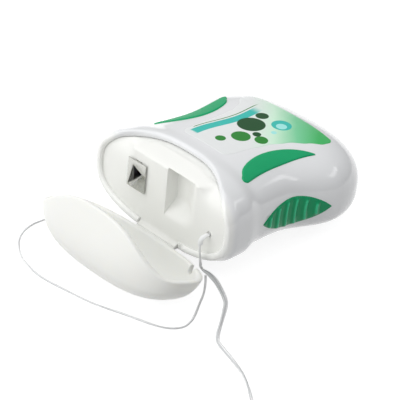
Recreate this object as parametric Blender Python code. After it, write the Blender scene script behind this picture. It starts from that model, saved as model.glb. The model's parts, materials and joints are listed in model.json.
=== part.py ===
"""Dental floss dispenser: a waisted case lying on its back, propped up by its open flip lid.

The case is modelled in a frame of its own: X runs from the mouth to the base, Y across the
width and Z from the back to the label face. The lid is modelled closed and then opened about
its hinge. A last step tips the case until lid and base both touch the table.
"""

import math

import bmesh
import bpy
from mathutils import Matrix, Vector

MM = 0.001

# Case
CASE_LENGTH = 54.0 * MM
MOUTH_WIDTH = 50.0 * MM
WAIST_WIDTH = 45.2 * MM
WAIST_PLACE = 23.4 * MM
BULGE_WIDTH = 53.6 * MM
BULGE_PLACE = 38.6 * MM
MOUTH_THICKNESS = 23.0 * MM
BASE_THICKNESS = 24.4 * MM
SECTION_POWER = 2.6
BASE_ROUNDING = 17.6 * MM
BASE_ROUNDING_POWER = 2.4
BASE_ROUNDING_END = math.radians(76)
CASE_WALL = 1.6 * MM
SECTION_POINTS = 48

# Collar behind the mouth, a little wider, thicker and boxier than the case round it
COLLAR_WIDENING = 0.6 * MM
COLLAR_THICKENING = 0.25 * MM
COLLAR_POWER = 2.95
COLLAR_RISE = 3.5 * MM
COLLAR_END = 7.5 * MM
COLLAR_FADE = 5.0 * MM

# Parting between case and lid: straight across the back, set back in an arch at the label face
PARTING_DIP = 8.3 * MM
PARTING_SHAPE = 2.7
PARTING_POWER = 1.6
LIP_HEIGHT = 1.1 * MM

# Lid
LID_DEPTH = 10.4 * MM
LID_WALL = 1.5 * MM
LID_ROUNDING_POWER = 2.5
LID_ROUNDING_END = math.radians(78)
LID_OPENING = math.radians(74)

# Hinge
HINGE_WIDTH = 14.4 * MM
HINGE_SLOT = 3.2 * MM
WEB_THICKNESS = 0.5 * MM
WEB_FOLD_RADIUS = 0.35 * MM
HINGE_FORWARD = 0.8 * MM

# Deck insert
DECK_PLATE = 1.4 * MM
DECK_SKIRT_WALL = 1.2 * MM
DECK_SKIRT_END = 9.1 * MM
DECK_FALL = 8.5 * MM
DECK_FALL_POWER = 3.8
PLATFORM_HALF_WIDTH = 13.5 * MM
PLATFORM_BOTTOM = 3.2 * MM
PLATFORM_TOP = 8.5 * MM
RECESS_WIDTH = 10.0 * MM
RECESS_HEIGHT = 12.8 * MM
RECESS_DEPTH = 3.7 * MM
RECESS_SIDE = -6.1 * MM
RECESS_UP = 1.9 * MM
RECESS_WALL = 1.1 * MM
EXIT_MARGIN = 7.5 * MM
EXIT_UP = -2.3 * MM
FLOSS_NOTCH_WIDTH = 2.0 * MM
FLOSS_NOTCH_DEPTH = 2.1 * MM

# Cutter
CUTTER_WIDTH = 6.6 * MM
CUTTER_HEIGHT = 7.8 * MM
CUTTER_SIDE = 9.6 * MM
CUTTER_UP = 1.6 * MM
CUTTER_SHEET = 0.35 * MM
CUTTER_LEG_WIDTH = 1.6 * MM
CUTTER_LEG_LENGTH = 1.6 * MM
TOOTH_LIFT = math.radians(78)
TOOTH_HOLE_MARGIN = 0.2 * MM
# Tooth corners from the plate's far upper corner: the two ends of the fold and the tip
TOOTH_SHARES = ((0.06, 0.93), (0.84, 0.36), (0.30, 0.18))

# Inlays, grips and label
INLAY_THICKNESS = 0.8 * MM
INLAY_RISE = 0.3 * MM
CRESCENT_PLACE = 24.1 * MM
CRESCENT_HEAD = 12.1 * MM
CRESCENT_HEAD_INNER = 15.2 * MM
CRESCENT_HEAD_OUTER = 17.8 * MM
CRESCENT_HEAD_BULGE = 1.2 * MM
CRESCENT_TIP = 11.3 * MM
CRESCENT_TIP_SIDE = 18.3 * MM
CRESCENT_INNER_SIDE = 11.5 * MM
CRESCENT_OUTER_SIDE = 16.0 * MM
CRESCENT_MIDDLE_SHIFT = 2.6 * MM
GRIP_PLACE = 24.1 * MM
GRIP_UP = -0.8 * MM
GRIP_LENGTH = 21.6 * MM
GRIP_HEIGHT = 8.4 * MM
GRIP_RIBS = 6
GRIP_RIB_PITCH = 3.0 * MM
GRIP_RIB_WIDTH = 1.2 * MM
GRIP_RIB_RISE = 0.5 * MM
GRIP_RIB_MARGIN = 0.9 * MM
GRIP_RIB_BOW = 0.5 * MM
LABEL_FRONT = 13.0 * MM
LABEL_LENGTH = 30.6 * MM
LABEL_HALF_WIDTH = 16.3 * MM
LABEL_THICKNESS = 0.35 * MM
LABEL_RISE = 0.05 * MM
LABEL_CORNER = 2.6 * MM
# Right-hand edge of the label, from its front end to its base end
LABEL_NEAR_SHARES = (
    (0.0, 0.50), (0.18, 0.53), (0.42, 0.60), (0.60, 0.72), (0.74, 0.88), (0.86, 1.0), (1.0, 1.0),
)
LABEL_FAR_SHARES = (
    (0.0, 0.50), (0.18, 0.53), (0.42, 0.54), (0.60, 0.57), (0.72, 0.66), (0.84, 0.86), (1.0, 0.90),
)
SHARP_EDGE = math.radians(35)
FLAT_FACE_SHARE = 0.99999

# Spool
AXLE_RADIUS = 2.0 * MM
AXLE_HEAD_RADIUS = 3.0 * MM
AXLE_HEAD_THICKNESS = 0.7 * MM
BOBBIN_HUB_RADIUS = 6.0 * MM
FLANGE_THICKNESS = 1.0 * MM
FLANGE_LAP = 1.8 * MM
CRADLE_SHEET = 1.2 * MM
CRADLE_ARM_WIDTH = 12.0 * MM
CRADLE_WEB_WIDTH = 16.0 * MM
CRADLE_WEB_HEIGHT = 18.6 * MM
FLOSS_DIAMETER = 1.0 * MM

# Free floss: routes chosen by hand on the table, in millimetres, and the coil of the unseen length
STRAND_DIAMETER = 0.6 * MM
TAIL_ROUTE = (
    (-14.48, -17.5, 14.75), (-15.88, -17.5, 14.75), (-16.9, -17.5, 13.9), (-17.35, -17.6, 11.4),
    (-17.28, -17.65, 8.9), (-17.2, -17.7, 7.0), (-16.7, -17.9, 5.5), (-15.6, -19.1, 4.2),
    (-15.2, -21.3, 2.8), (-15.8, -24.1, 1.4), (-17.1, -26.7, 0.62), (-19.6, -28.9, 0.52),
    (-23.7, -32.1, 0.52), (-27.0, -34.7, 0.52), (-28.8, -36.8, 0.52), (-29.7, -39.9, 0.52),
    (-30.8, -44.1, 0.52), (-32.5, -49.2, 0.52), (-34.7, -53.4, 0.52), (-37.1, -57.1, 0.52),
    (-40.4, -61.8, 0.52), (-44.12, -66.95, 0.52),
)
STRAND_ROUTE = (
    (-16.9, -19.2, 4.6), (-17.7, -20.0, 3.0), (-19.4, -21.2, 1.3), (-22.2, -22.8, 0.42),
    (-25.5, -25.0, 0.32), (-28.2, -26.4, 0.32), (-30.9, -26.7, 0.32), (-33.5, -25.0, 0.32),
    (-35.5, -21.4, 0.32), (-38.2, -13.0, 0.32), (-41.0, -4.6, 0.32), (-42.8, 5.5, 0.32),
    (-43.6, 12.3, 0.32), (-43.2, 17.6, 0.32), (-41.8, 22.8, 0.32), (-38.8, 27.7, 0.32),
    (-35.2, 30.6, 0.32), (-31.3, 31.7, 0.32), (-26.7, 31.3, 0.32), (-22.6, 30.6, 0.32),
)
TAIL_SPACING = 2.4 * MM
STRAND_SPACING = 1.8 * MM
COIL_OUTER_RADIUS = 8.5 * MM
COIL_INNER_RADIUS = 3.1 * MM
COIL_TURNS = 3.25
COIL_LAYER = 1.5 * MM
COIL_STEP_COUNT = 24
TABLE_GAP = 0.02 * MM

# Clearances
SEAT_GAP = 0.3 * MM
RUNNING_GAP = 0.3 * MM
SPOOL_END_GAP = 0.4 * MM
SPOOL_FRONT_GAP = 3.6 * MM
SPOOL_BASE_GAP = 4.6 * MM
AXLE_END_GAP = 1.13 * MM
OVERRUN = 4.0 * MM


def smooth_step(share):
    """Eases from 0 to 1 with level ends."""
    share = min(max(share, 0.0), 1.0)
    return share * share * (3 - 2 * share)


def collar_share(x):
    """How much of the collar shows at a distance from the mouth."""
    return smooth_step(x / COLLAR_RISE) * (1 - smooth_step((x - COLLAR_END) / COLLAR_FADE))


def section_power(x):
    """Power of the section's superellipse at a distance from the mouth."""
    return SECTION_POWER + (COLLAR_POWER - SECTION_POWER) * collar_share(x)


def half_width(x):
    """Half of the case's width at a distance from the mouth, before the end roundings."""
    mouth, waist, bulge = MOUTH_WIDTH / 2, WAIST_WIDTH / 2, BULGE_WIDTH / 2
    if x < WAIST_PLACE:
        collar = COLLAR_WIDENING * collar_share(x)
        return mouth + (waist - mouth) * smooth_step(x / WAIST_PLACE) + collar
    return waist + (bulge - waist) * smooth_step((x - WAIST_PLACE) / (BULGE_PLACE - WAIST_PLACE))


def half_thickness(x):
    """Half of the case's thickness at a distance from the mouth, before the end roundings."""
    mouth, base = MOUTH_THICKNESS / 2, BASE_THICKNESS / 2
    collar = COLLAR_THICKENING * collar_share(x)
    return mouth + (base - mouth) * smooth_step(x / BULGE_PLACE) + collar


def exit_side():
    """Where the floss leaves the deck, across the width."""
    return EXIT_MARGIN - MOUTH_WIDTH / 2


def cradle_front():
    """Where the cradle starts along X, right behind the deck's skirt."""
    return DECK_SKIRT_END + SEAT_GAP


def bobbin_radius():
    """Radius of the bobbin that fills the room between the cradle's web and the base."""
    room = CASE_LENGTH - CASE_WALL - SPOOL_BASE_GAP - cradle_front() - CRADLE_SHEET - SPOOL_FRONT_GAP
    return room / 2


def spool_place():
    """Where the spool's axis lies along X."""
    return CASE_LENGTH - CASE_WALL - SPOOL_BASE_GAP - bobbin_radius()


def bobbin_height():
    """Height of the bobbin that leaves room for the cradle's arms and the axle's heads."""
    ends = AXLE_END_GAP + AXLE_HEAD_THICKNESS + SEAT_GAP + CRADLE_SHEET + SPOOL_END_GAP
    return 2 * (half_thickness(spool_place()) - CASE_WALL - ends)


def superellipse(angle, power):
    """Returns the cosine-like and sine-like values of a superellipse with unit half axes."""
    cosine, sine = math.cos(angle), math.sin(angle)
    across = math.copysign(abs(cosine) ** (2 / power), cosine)
    upward = math.copysign(abs(sine) ** (2 / power), sine)
    return across, upward


def end_rounding(start, length, power, last_angle, steps):
    """Lists (place, share of the section) pairs for an end that rounds off to a flat."""
    full = math.sin(last_angle) ** (2 / power)
    pairs = []
    for step in range(1, steps + 1):
        angle = last_angle * step / steps
        place = start + length * math.sin(angle) ** (2 / power) / full
        pairs.append((place, math.cos(angle) ** (2 / power)))
    return pairs


def link(name, mesh):
    """Makes an object of a mesh and puts it into the scene."""
    part = bpy.data.objects.new(name, mesh)
    bpy.context.scene.collection.objects.link(part)
    return part


def loft(name, stations, inset):
    """Skins superellipse sections; each station is (place, share of the section)."""
    shape = bmesh.new()
    rings = []
    for place, share in stations:
        wide = (half_width(place) - inset) * share
        thick = (half_thickness(place) - inset) * share
        ring = []
        for index in range(SECTION_POINTS):
            across, upward = superellipse(2 * math.pi * index / SECTION_POINTS, section_power(place))
            ring.append(shape.verts.new((place, wide * across, thick * upward)))
        rings.append(ring)
    for first, second in zip(rings, rings[1:]):
        for index in range(SECTION_POINTS):
            follow = (index + 1) % SECTION_POINTS
            shape.faces.new((first[index], first[follow], second[follow], second[index]))
    shape.faces.new(list(reversed(rings[0])))
    shape.faces.new(rings[-1])
    bmesh.ops.recalc_face_normals(shape, faces=shape.faces)
    mesh = bpy.data.meshes.new(name)
    shape.to_mesh(mesh)
    shape.free()
    return link(name, mesh)


def case_form(name, inset):
    """Solid of the case's outer form, moved in by an inset, open-ended past the mouth."""
    start = CASE_LENGTH - BASE_ROUNDING
    marks = (0.0, COLLAR_RISE, COLLAR_END, COLLAR_END + COLLAR_FADE, WAIST_PLACE, start)
    counts = (2, 1, 4, 3, 3)
    stations = [(-OVERRUN, 1.0)]
    for first, last, count in zip(marks, marks[1:], counts):
        for step in range(count):
            stations.append((first + (last - first) * step / count, 1.0))
    stations.append((start, 1.0))
    stations += end_rounding(start, BASE_ROUNDING - inset, BASE_ROUNDING_POWER, BASE_ROUNDING_END, 7)
    return loft(name, stations, inset)


def lid_form(name, inset):
    """Solid of the closed lid's outer form, moved in by an inset, running on over the mouth."""
    stations = end_rounding(0, inset - LID_DEPTH, LID_ROUNDING_POWER, LID_ROUNDING_END, 8)
    stations.reverse()
    reach = PARTING_DIP + OVERRUN
    behind_steps = 3
    for step in range(behind_steps + 1):
        stations.append((reach * step / behind_steps, 1.0))
    return loft(name, stations, inset)


def prism(name, outline, axis, low, high):
    """Extrudes an outline, given in the other two axes in X, Y, Z order, along an axis."""
    order = {"X": (2, 0, 1), "Y": (0, 2, 1), "Z": (0, 1, 2)}[axis]
    shape = bmesh.new()
    layers = []
    for level in (low, high):
        layers.append([])
        for point in outline:
            place = (point[0], point[1], level)
            layers[-1].append(shape.verts.new([place[index] for index in order]))
    count = len(outline)
    for index in range(count):
        follow = (index + 1) % count
        shape.faces.new((layers[0][index], layers[0][follow], layers[1][follow], layers[1][index]))
    shape.faces.new(layers[0])
    shape.faces.new(list(reversed(layers[1])))
    bmesh.ops.recalc_face_normals(shape, faces=shape.faces)
    mesh = bpy.data.meshes.new(name)
    shape.to_mesh(mesh)
    shape.free()
    return link(name, mesh)


def block(name, centre, size):
    """Makes a box from its centre and its size."""
    shape = bmesh.new()
    bmesh.ops.create_cube(shape, size=1.0)
    bmesh.ops.scale(shape, vec=Vector(size), verts=shape.verts)
    bmesh.ops.translate(shape, vec=Vector(centre), verts=shape.verts)
    mesh = bpy.data.meshes.new(name)
    shape.to_mesh(mesh)
    shape.free()
    return link(name, mesh)


def rod(name, centre, radius, length, axis, sides=32):
    """Makes a cylinder along an axis, centred on a point."""
    turns = {
        "X": Matrix.Rotation(math.pi / 2, 4, "Y"),
        "Y": Matrix.Rotation(math.pi / 2, 4, "X"),
        "Z": Matrix.Identity(4),
    }
    shape = bmesh.new()
    bmesh.ops.create_cone(
        shape, cap_ends=True, segments=sides, radius1=radius, radius2=radius, depth=length,
        matrix=Matrix.Translation(Vector(centre)) @ turns[axis],
    )
    mesh = bpy.data.meshes.new(name)
    shape.to_mesh(mesh)
    shape.free()
    return link(name, mesh)


def combine(target, others, operation):
    """Applies one Boolean operation with each of the other solids and removes them."""
    for other in others:
        modifier = target.modifiers.new(operation.title(), "BOOLEAN")
        modifier.operation = operation
        modifier.object = other
        modifier.solver = "EXACT"
    bpy.context.view_layer.update()
    graph = bpy.context.evaluated_depsgraph_get()
    mesh = bpy.data.meshes.new_from_object(target.evaluated_get(graph))
    target.modifiers.clear()
    target.data = mesh
    mesh.name = target.name
    for other in others:
        bpy.data.objects.remove(other)
    return target


def cut(target, *cutters):
    """Cuts solids away from a target."""
    return combine(target, cutters, "DIFFERENCE")


def keep_inside(target, *limits):
    """Keeps what a target shares with each of the limits."""
    return combine(target, limits, "INTERSECT")


def join(target, *others):
    """Joins touching solids into the target."""
    return combine(target, others, "UNION")


def parting_place(side):
    """Where the parting lies along X on the label face at a distance from its middle line."""
    share = min(abs(side) / (MOUTH_WIDTH / 2 - CASE_WALL), 1.0)
    return PARTING_DIP * (1 - share ** PARTING_SHAPE) ** PARTING_POWER


def parting_cutters(shift, end, steps=14):
    """Cutters of all that lies between the shifted parting and a plane of constant X."""
    half, top = MOUTH_WIDTH, MOUTH_THICKNESS / 2 + OVERRUN
    arch = [(end, half), (end, -half), (shift, -half)]
    for step in range(-steps, steps + 1):
        side = (MOUTH_WIDTH / 2 - CASE_WALL) * step / steps
        arch.append((parting_place(side) + shift, side))
    arch.append((shift, half))
    overlap = OVERRUN / 2
    centre = ((shift + end) / 2, 0.0, (overlap - top) / 2)
    straight = block("straight", centre, (abs(end - shift), 2 * half, overlap + top))
    return prism("arch", arch, "Z", 0.0, top), straight


def deck_place(up):
    """How far the deck falls back along X at a height above the case's middle."""
    if up <= 0:
        return 0.0
    return DECK_FALL * (up / (MOUTH_THICKNESS / 2)) ** DECK_FALL_POWER


def deck_outline(shift, end, steps=14):
    """Outline in X and Z between the shifted front of the deck and a plane of constant X."""
    top = MOUTH_THICKNESS / 2 + OVERRUN / 4
    outline = [(end, top), (end, -top - OVERRUN), (shift, -top - OVERRUN)]
    for step in range(steps + 1):
        up = top * step / steps
        outline.append((deck_place(up) + shift, up))
    return outline


def arc(first, middle, last, count):
    """Points of the circle arc through three points, both ends included."""
    ax, ay = first
    bx, by = middle
    cx, cy = last
    spread = 2 * (ax * (by - cy) + bx * (cy - ay) + cx * (ay - by))
    squares = [ax * ax + ay * ay, bx * bx + by * by, cx * cx + cy * cy]
    centre_x = (squares[0] * (by - cy) + squares[1] * (cy - ay) + squares[2] * (ay - by)) / spread
    centre_y = (squares[0] * (cx - bx) + squares[1] * (ax - cx) + squares[2] * (bx - ax)) / spread
    radius = math.hypot(ax - centre_x, ay - centre_y)
    start = math.atan2(ay - centre_y, ax - centre_x)
    through = (math.atan2(by - centre_y, bx - centre_x) - start) % (2 * math.pi)
    stop = (math.atan2(cy - centre_y, cx - centre_x) - start) % (2 * math.pi)
    if through > stop:
        stop -= 2 * math.pi
    points = []
    for index in range(count + 1):
        angle = start + stop * index / count
        points.append((centre_x + radius * math.cos(angle), centre_y + radius * math.sin(angle)))
    return points


def grown(outline, distance):
    """Moves each side of a closed outline outwards by a distance."""
    area = 0.0
    for (ax, ay), (bx, by) in zip(outline, outline[1:] + outline[:1]):
        area += ax * by - bx * ay
    sign = 1 if area > 0 else -1
    moved = []
    count = len(outline)
    for index in range(count):
        before, here, after = (Vector(outline[(index + step) % count]) for step in (-1, 0, 1))
        sides = [(here - before).normalized(), (after - here).normalized()]
        normals = [Vector((side.y, -side.x)) * sign for side in sides]
        middle = (normals[0] + normals[1]).normalized()
        reach = distance / max(middle.dot(normals[0]), 0.5)
        moved.append(tuple(here + middle * reach))
    return moved


def rounded(outline, radius, corners, steps=4):
    """Rounds the named corners of an outline with small curves."""
    points = []
    count = len(outline)
    for index, here in enumerate(outline):
        if index not in corners:
            points.append(here)
            continue
        corner = Vector(here)
        before = (Vector(outline[index - 1]) - corner).normalized() * radius
        after = (Vector(outline[(index + 1) % count]) - corner).normalized() * radius
        for step in range(steps + 1):
            share = step / steps
            bend = before * (1 - share) ** 2 + after * share ** 2
            points.append(tuple(corner + bend))
    return points


def skin_piece(name, outline, axis, low, high, rise, thickness):
    """A piece of the case's skin inside an outline, standing proud of the case by a rise."""
    piece = case_form(name, -rise)
    keep_inside(piece, prism("limit", outline, axis, low, high))
    return cut(piece, case_form("core", thickness - rise))


def skin_pocket(outline, axis, low, high, depth):
    """The cutter of the pocket that a piece of skin lies in."""
    pocket = prism("pocket", grown(outline, SEAT_GAP), axis, low, high)
    return cut(pocket, case_form("core", depth))


def crescent_outline(side):
    """Outline of one crescent in X and Y; the two are a half turn apart."""
    inner = arc(
        (-CRESCENT_HEAD, CRESCENT_HEAD_INNER),
        (-CRESCENT_MIDDLE_SHIFT, CRESCENT_INNER_SIDE),
        (CRESCENT_TIP, CRESCENT_TIP_SIDE), 14,
    )
    outer = arc(
        (CRESCENT_TIP, CRESCENT_TIP_SIDE),
        (-CRESCENT_MIDDLE_SHIFT, CRESCENT_OUTER_SIDE),
        (-CRESCENT_HEAD, CRESCENT_HEAD_OUTER), 12,
    )
    middle_side = (CRESCENT_HEAD_INNER + CRESCENT_HEAD_OUTER) / 2
    head = arc(outer[-1], (-CRESCENT_HEAD - CRESCENT_HEAD_BULGE, middle_side), inner[0], 6)
    points = inner + outer[1:] + head[1:-1]
    return [(CRESCENT_PLACE - side * along, side * out) for along, out in points]


def lens(length, height, count):
    """Outline of a pointed lens in X and Z round its middle."""
    left, right = (-length / 2, 0.0), (length / 2, 0.0)
    upper = arc(left, (0.0, height / 2), right, count)
    lower = arc(right, (0.0, -height / 2), left, count)
    return upper + lower[1:-1]


def grip_outline():
    """Outline of a side grip in X and Z."""
    return [(GRIP_PLACE + along, GRIP_UP + up) for along, up in lens(GRIP_LENGTH, GRIP_HEIGHT, 16)]


def rib_outline(index):
    """Outline of one curved rib of a side grip."""
    along = (index - (GRIP_RIBS - 1) / 2) * GRIP_RIB_PITCH
    share = 1 - (2 * along / GRIP_LENGTH) ** 2
    reach = GRIP_HEIGHT / 2 * share - GRIP_RIB_MARGIN
    left, right = [], []
    for step in range(5):
        up = reach * (step / 2 - 1)
        bow = GRIP_RIB_BOW * (1 - (up / reach) ** 2)
        left.append((GRIP_PLACE + along - GRIP_RIB_WIDTH / 2 - bow, GRIP_UP + up))
        right.append((GRIP_PLACE + along + GRIP_RIB_WIDTH / 2 - bow, GRIP_UP + up))
    return left + list(reversed(right))


def label_outline():
    """Outline of the front label in X and Y, narrow where the crescents leave room."""
    near, far = [], []
    for along, side in LABEL_NEAR_SHARES:
        near.append((LABEL_FRONT + along * LABEL_LENGTH, -side * LABEL_HALF_WIDTH))
    for along, side in LABEL_FAR_SHARES:
        far.append((LABEL_FRONT + along * LABEL_LENGTH, side * LABEL_HALF_WIDTH))
    outline = near + list(reversed(far))
    corners = (0, len(near) - 1, len(near), len(outline) - 1)
    return rounded(outline, LABEL_CORNER, corners)


def material(name, colour, roughness, metallic=0.0):
    """Makes a Principled material."""
    finish = bpy.data.materials.new(name)
    finish.use_nodes = True
    shader = finish.node_tree.nodes["Principled BSDF"]
    shader.inputs["Base Color"].default_value = (*colour, 1.0)
    shader.inputs["Roughness"].default_value = roughness
    shader.inputs["Metallic"].default_value = metallic
    finish.diffuse_color = (*colour, 1.0)
    return finish


def dress(part, finish, round_piece=True):
    """Gives a part its material and, if it is round, smooth shading but for its flats."""
    part.data.materials.clear()
    part.data.materials.append(finish)
    if round_piece:
        part.data.shade_smooth()
        part.data.set_sharp_from_angle(angle=SHARP_EDGE)
        for face in part.data.polygons:
            if max(abs(share) for share in face.normal) > FLAT_FACE_SHARE:
                face.use_smooth = False
    return part


def make_case():
    """White case shell: hollow, open at the mouth, with pockets for what lies in its skin."""
    shell = case_form("case_shell", 0.0)
    cavity = case_form("cavity", CASE_WALL)
    cut(shell, cavity, *parting_cutters(0.0, -2 * OVERRUN))
    depth = INLAY_THICKNESS - INLAY_RISE + SEAT_GAP
    for side in (-1, 1):
        cut(shell, skin_pocket(crescent_outline(side), "Z", 0.0, MOUTH_THICKNESS, depth))
        low, high = sorted((0.0, side * MOUTH_WIDTH))
        cut(shell, skin_pocket(grip_outline(), "Y", low, high, depth))
    label_depth = LABEL_THICKNESS - LABEL_RISE + SEAT_GAP
    cut(shell, skin_pocket(label_outline(), "Z", 0.0, MOUTH_THICKNESS, label_depth))
    notch_width = HINGE_WIDTH + 2 * HINGE_SLOT
    notch_length = LIP_HEIGHT + DECK_PLATE + SEAT_GAP
    notch_size = (2 * notch_length, notch_width, 2 * (CASE_WALL + SEAT_GAP))
    cut(shell, block("hinge_notch", (0.0, 0.0, -MOUTH_THICKNESS / 2), notch_size))
    return dress(shell, material("white_case", (0.86, 0.87, 0.88), 0.28))


def make_crescents():
    """Green soft inlays of the label face, a half turn apart."""
    green = material("green_inlay", (0.02, 0.42, 0.16), 0.42)
    for side, name in ((1, "crescent_left"), (-1, "crescent_right")):
        piece = skin_piece(
            name, crescent_outline(side), "Z", 0.0, MOUTH_THICKNESS, INLAY_RISE, INLAY_THICKNESS,
        )
        dress(piece, green)


def make_grips():
    """Green ribbed finger grips in the two narrow sides."""
    green = material("green_grip", (0.02, 0.30, 0.11), 0.45)
    for side, name in ((1, "grip_far"), (-1, "grip_near")):
        low, high = sorted((0.0, side * MOUTH_WIDTH))
        grip = skin_piece(name, grip_outline(), "Y", low, high, INLAY_RISE, INLAY_THICKNESS)
        rise = INLAY_RISE + GRIP_RIB_RISE
        for index in range(GRIP_RIBS):
            rib = skin_piece("rib", rib_outline(index), "Y", low, high, rise, GRIP_RIB_RISE + INLAY_RISE)
            join(grip, rib)
        dress(grip, green)


def make_label():
    """Label film between the crescents."""
    film = skin_piece(
        "front_label", label_outline(), "Z", 0.0, MOUTH_THICKNESS, LABEL_RISE, LABEL_THICKNESS,
    )
    dress(film, material("label_film", (0.45, 0.78, 0.62), 0.35))


def make_deck():
    """Milky insert in the mouth: plate, skirt, recess, exit, cutter openings and hinge tab."""
    inset = CASE_WALL + SEAT_GAP
    deck = case_form("deck_insert", inset)
    outline = deck_outline(LIP_HEIGHT, DECK_SKIRT_END)
    keep_inside(deck, prism("limit", outline, "Y", -MOUTH_WIDTH, MOUTH_WIDTH))
    hollow = case_form("hollow", inset + DECK_SKIRT_WALL)
    behind = deck_outline(LIP_HEIGHT + DECK_PLATE, DECK_SKIRT_END + OVERRUN)
    keep_inside(hollow, prism("limit", behind, "Y", -MOUTH_WIDTH, MOUTH_WIDTH))
    half = PLATFORM_HALF_WIDTH
    join(deck, prism("platform", platform_outline(), "Y", -half, half))
    recess_centre = (LIP_HEIGHT, RECESS_SIDE, RECESS_UP)
    recess_size = (2 * RECESS_DEPTH, RECESS_WIDTH, RECESS_HEIGHT)
    tub_size = [size + 2 * RECESS_WALL for size in recess_size]
    cut(hollow, block("tub", recess_centre, tub_size))
    cut(deck, hollow, block("recess", recess_centre, recess_size))
    exit_centre = (LIP_HEIGHT, exit_side(), EXIT_UP)
    exit_radius = FLOSS_DIAMETER / 2 + RUNNING_GAP
    cut(deck, rod("floss_exit", exit_centre, exit_radius, 2 * OVERRUN, "X", 16))
    hole = grown(tooth_outline(), TOOTH_HOLE_MARGIN)
    cut(deck, prism("tooth_hole", hole, "X", LIP_HEIGHT - OVERRUN, LIP_HEIGHT + OVERRUN))
    for direction in (-1, 1):
        centre = (LIP_HEIGHT, CUTTER_SIDE, CUTTER_UP + direction * cutter_leg_place())
        size = (2 * OVERRUN, CUTTER_LEG_WIDTH + 2 * SEAT_GAP, CUTTER_SHEET + 2 * SEAT_GAP)
        cut(deck, block("leg_slot", centre, size))
    bottom = -MOUTH_THICKNESS / 2
    top = bottom + CASE_WALL + SEAT_GAP + DECK_SKIRT_WALL
    tab_centre = (LIP_HEIGHT + DECK_PLATE / 2, 0.0, (bottom + top) / 2)
    join(deck, block("hinge_tab", tab_centre, (DECK_PLATE, HINGE_WIDTH, top - bottom)))
    return dress(deck, material("milky_insert", (0.84, 0.85, 0.80), 0.38))


def platform_outline(steps=8):
    """Outline in X and Z of the flat platform on the deck's upper part, which falls back."""
    outline = [(LIP_HEIGHT, PLATFORM_BOTTOM), (LIP_HEIGHT, PLATFORM_TOP)]
    for step in range(steps + 1):
        up = PLATFORM_TOP - (PLATFORM_TOP - PLATFORM_BOTTOM) * step / steps
        outline.append((LIP_HEIGHT + deck_place(up) + DECK_PLATE / 2, up))
    return outline


def tooth_outline():
    """Outline in Y and Z of the cutter's window: both ends of the fold, then the tip."""
    far, top = CUTTER_SIDE + CUTTER_WIDTH / 2, CUTTER_UP + CUTTER_HEIGHT / 2
    return [(far - side * CUTTER_WIDTH, top - down * CUTTER_HEIGHT) for side, down in TOOTH_SHARES]


def cutter_leg_place():
    """How far each leg of the cutter lies above or below its middle."""
    return CUTTER_HEIGHT / 2 - CUTTER_SHEET / 2


def make_cutter():
    """Steel cutter: a plate with a triangular window, its tooth bent outwards and two legs."""
    back = LIP_HEIGHT - SEAT_GAP
    middle = back - CUTTER_SHEET / 2
    plate_size = (CUTTER_SHEET, CUTTER_WIDTH, CUTTER_HEIGHT)
    plate = block("cutter_clip", (middle, CUTTER_SIDE, CUTTER_UP), plate_size)
    window = tooth_outline()
    cut(plate, prism("window", window, "X", back - OVERRUN, back + OVERRUN))
    low, high, tip = (Vector((0.0, side, up)) for side, up in window)
    fold = (high - low).normalized()
    inward = (tip - low) - fold * (tip - low).dot(fold)
    root = inward.normalized() * CUTTER_SHEET / 2
    blade = [(low - root).yz, (high - root).yz, tip.yz]
    tooth = prism("tooth", blade, "X", -CUTTER_SHEET / 2, CUTTER_SHEET / 2)
    side = -1 if fold.cross(inward).x > 0 else 1
    lift = Matrix.Rotation(side * TOOTH_LIFT, 4, fold)
    seat = Matrix.Translation(low + Vector((middle, 0.0, 0.0)))
    tooth.data.transform(seat @ lift @ Matrix.Translation(-low))
    join(plate, tooth)
    leg_middle = back + (CUTTER_LEG_LENGTH - CUTTER_SHEET) / 2
    leg_size = (CUTTER_LEG_LENGTH + CUTTER_SHEET, CUTTER_LEG_WIDTH, CUTTER_SHEET)
    for direction in (-1, 1):
        level = CUTTER_UP + direction * cutter_leg_place()
        join(plate, block("leg", (leg_middle, CUTTER_SIDE, level), leg_size))
    return dress(plate, material("cutter_steel", (0.62, 0.62, 0.64), 0.28, 1.0), round_piece=False)


def hinge_axis():
    """Point of the lid's fold line in the case's frame."""
    return Vector((-HINGE_FORWARD, 0.0, -MOUTH_THICKNESS / 2 + WEB_THICKNESS / 2))


def make_hinge_web():
    """Web of the moulded hinge, from the deck's tab to the fold line that the lid turns on."""
    axis = hinge_axis()
    end = LIP_HEIGHT - SEAT_GAP
    centre = ((axis.x + end) / 2, 0.0, axis.z)
    web = block("hinge_web", centre, (end - axis.x, HINGE_WIDTH, WEB_THICKNESS))
    join(web, rod("fold", axis, WEB_FOLD_RADIUS, HINGE_WIDTH, "Y", 16))
    return dress(web, bpy.data.materials["milky_insert"])


def make_lid():
    """Milky flip lid, modelled closed in the case's frame with its origin on the hinge."""
    lid = lid_form("flip_lid", 0.0)
    bowl = lid_form("bowl", LID_WALL)
    cut(lid, bowl, *parting_cutters(-SEAT_GAP, 4 * OVERRUN))
    groove_radius = WEB_FOLD_RADIUS + SEAT_GAP
    cut(lid, rod("groove", hinge_axis(), groove_radius, HINGE_WIDTH + 2 * SEAT_GAP, "Y", 16))
    notch_size = (2 * FLOSS_NOTCH_DEPTH, FLOSS_NOTCH_WIDTH, MOUTH_THICKNESS / 2)
    cut(lid, block("floss_notch", (-SEAT_GAP, exit_side(), -MOUTH_THICKNESS / 2), notch_size))
    lid.data.transform(Matrix.Translation(-hinge_axis()))
    return dress(lid, material("milky_lid", (0.86, 0.87, 0.83), 0.34))


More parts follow.
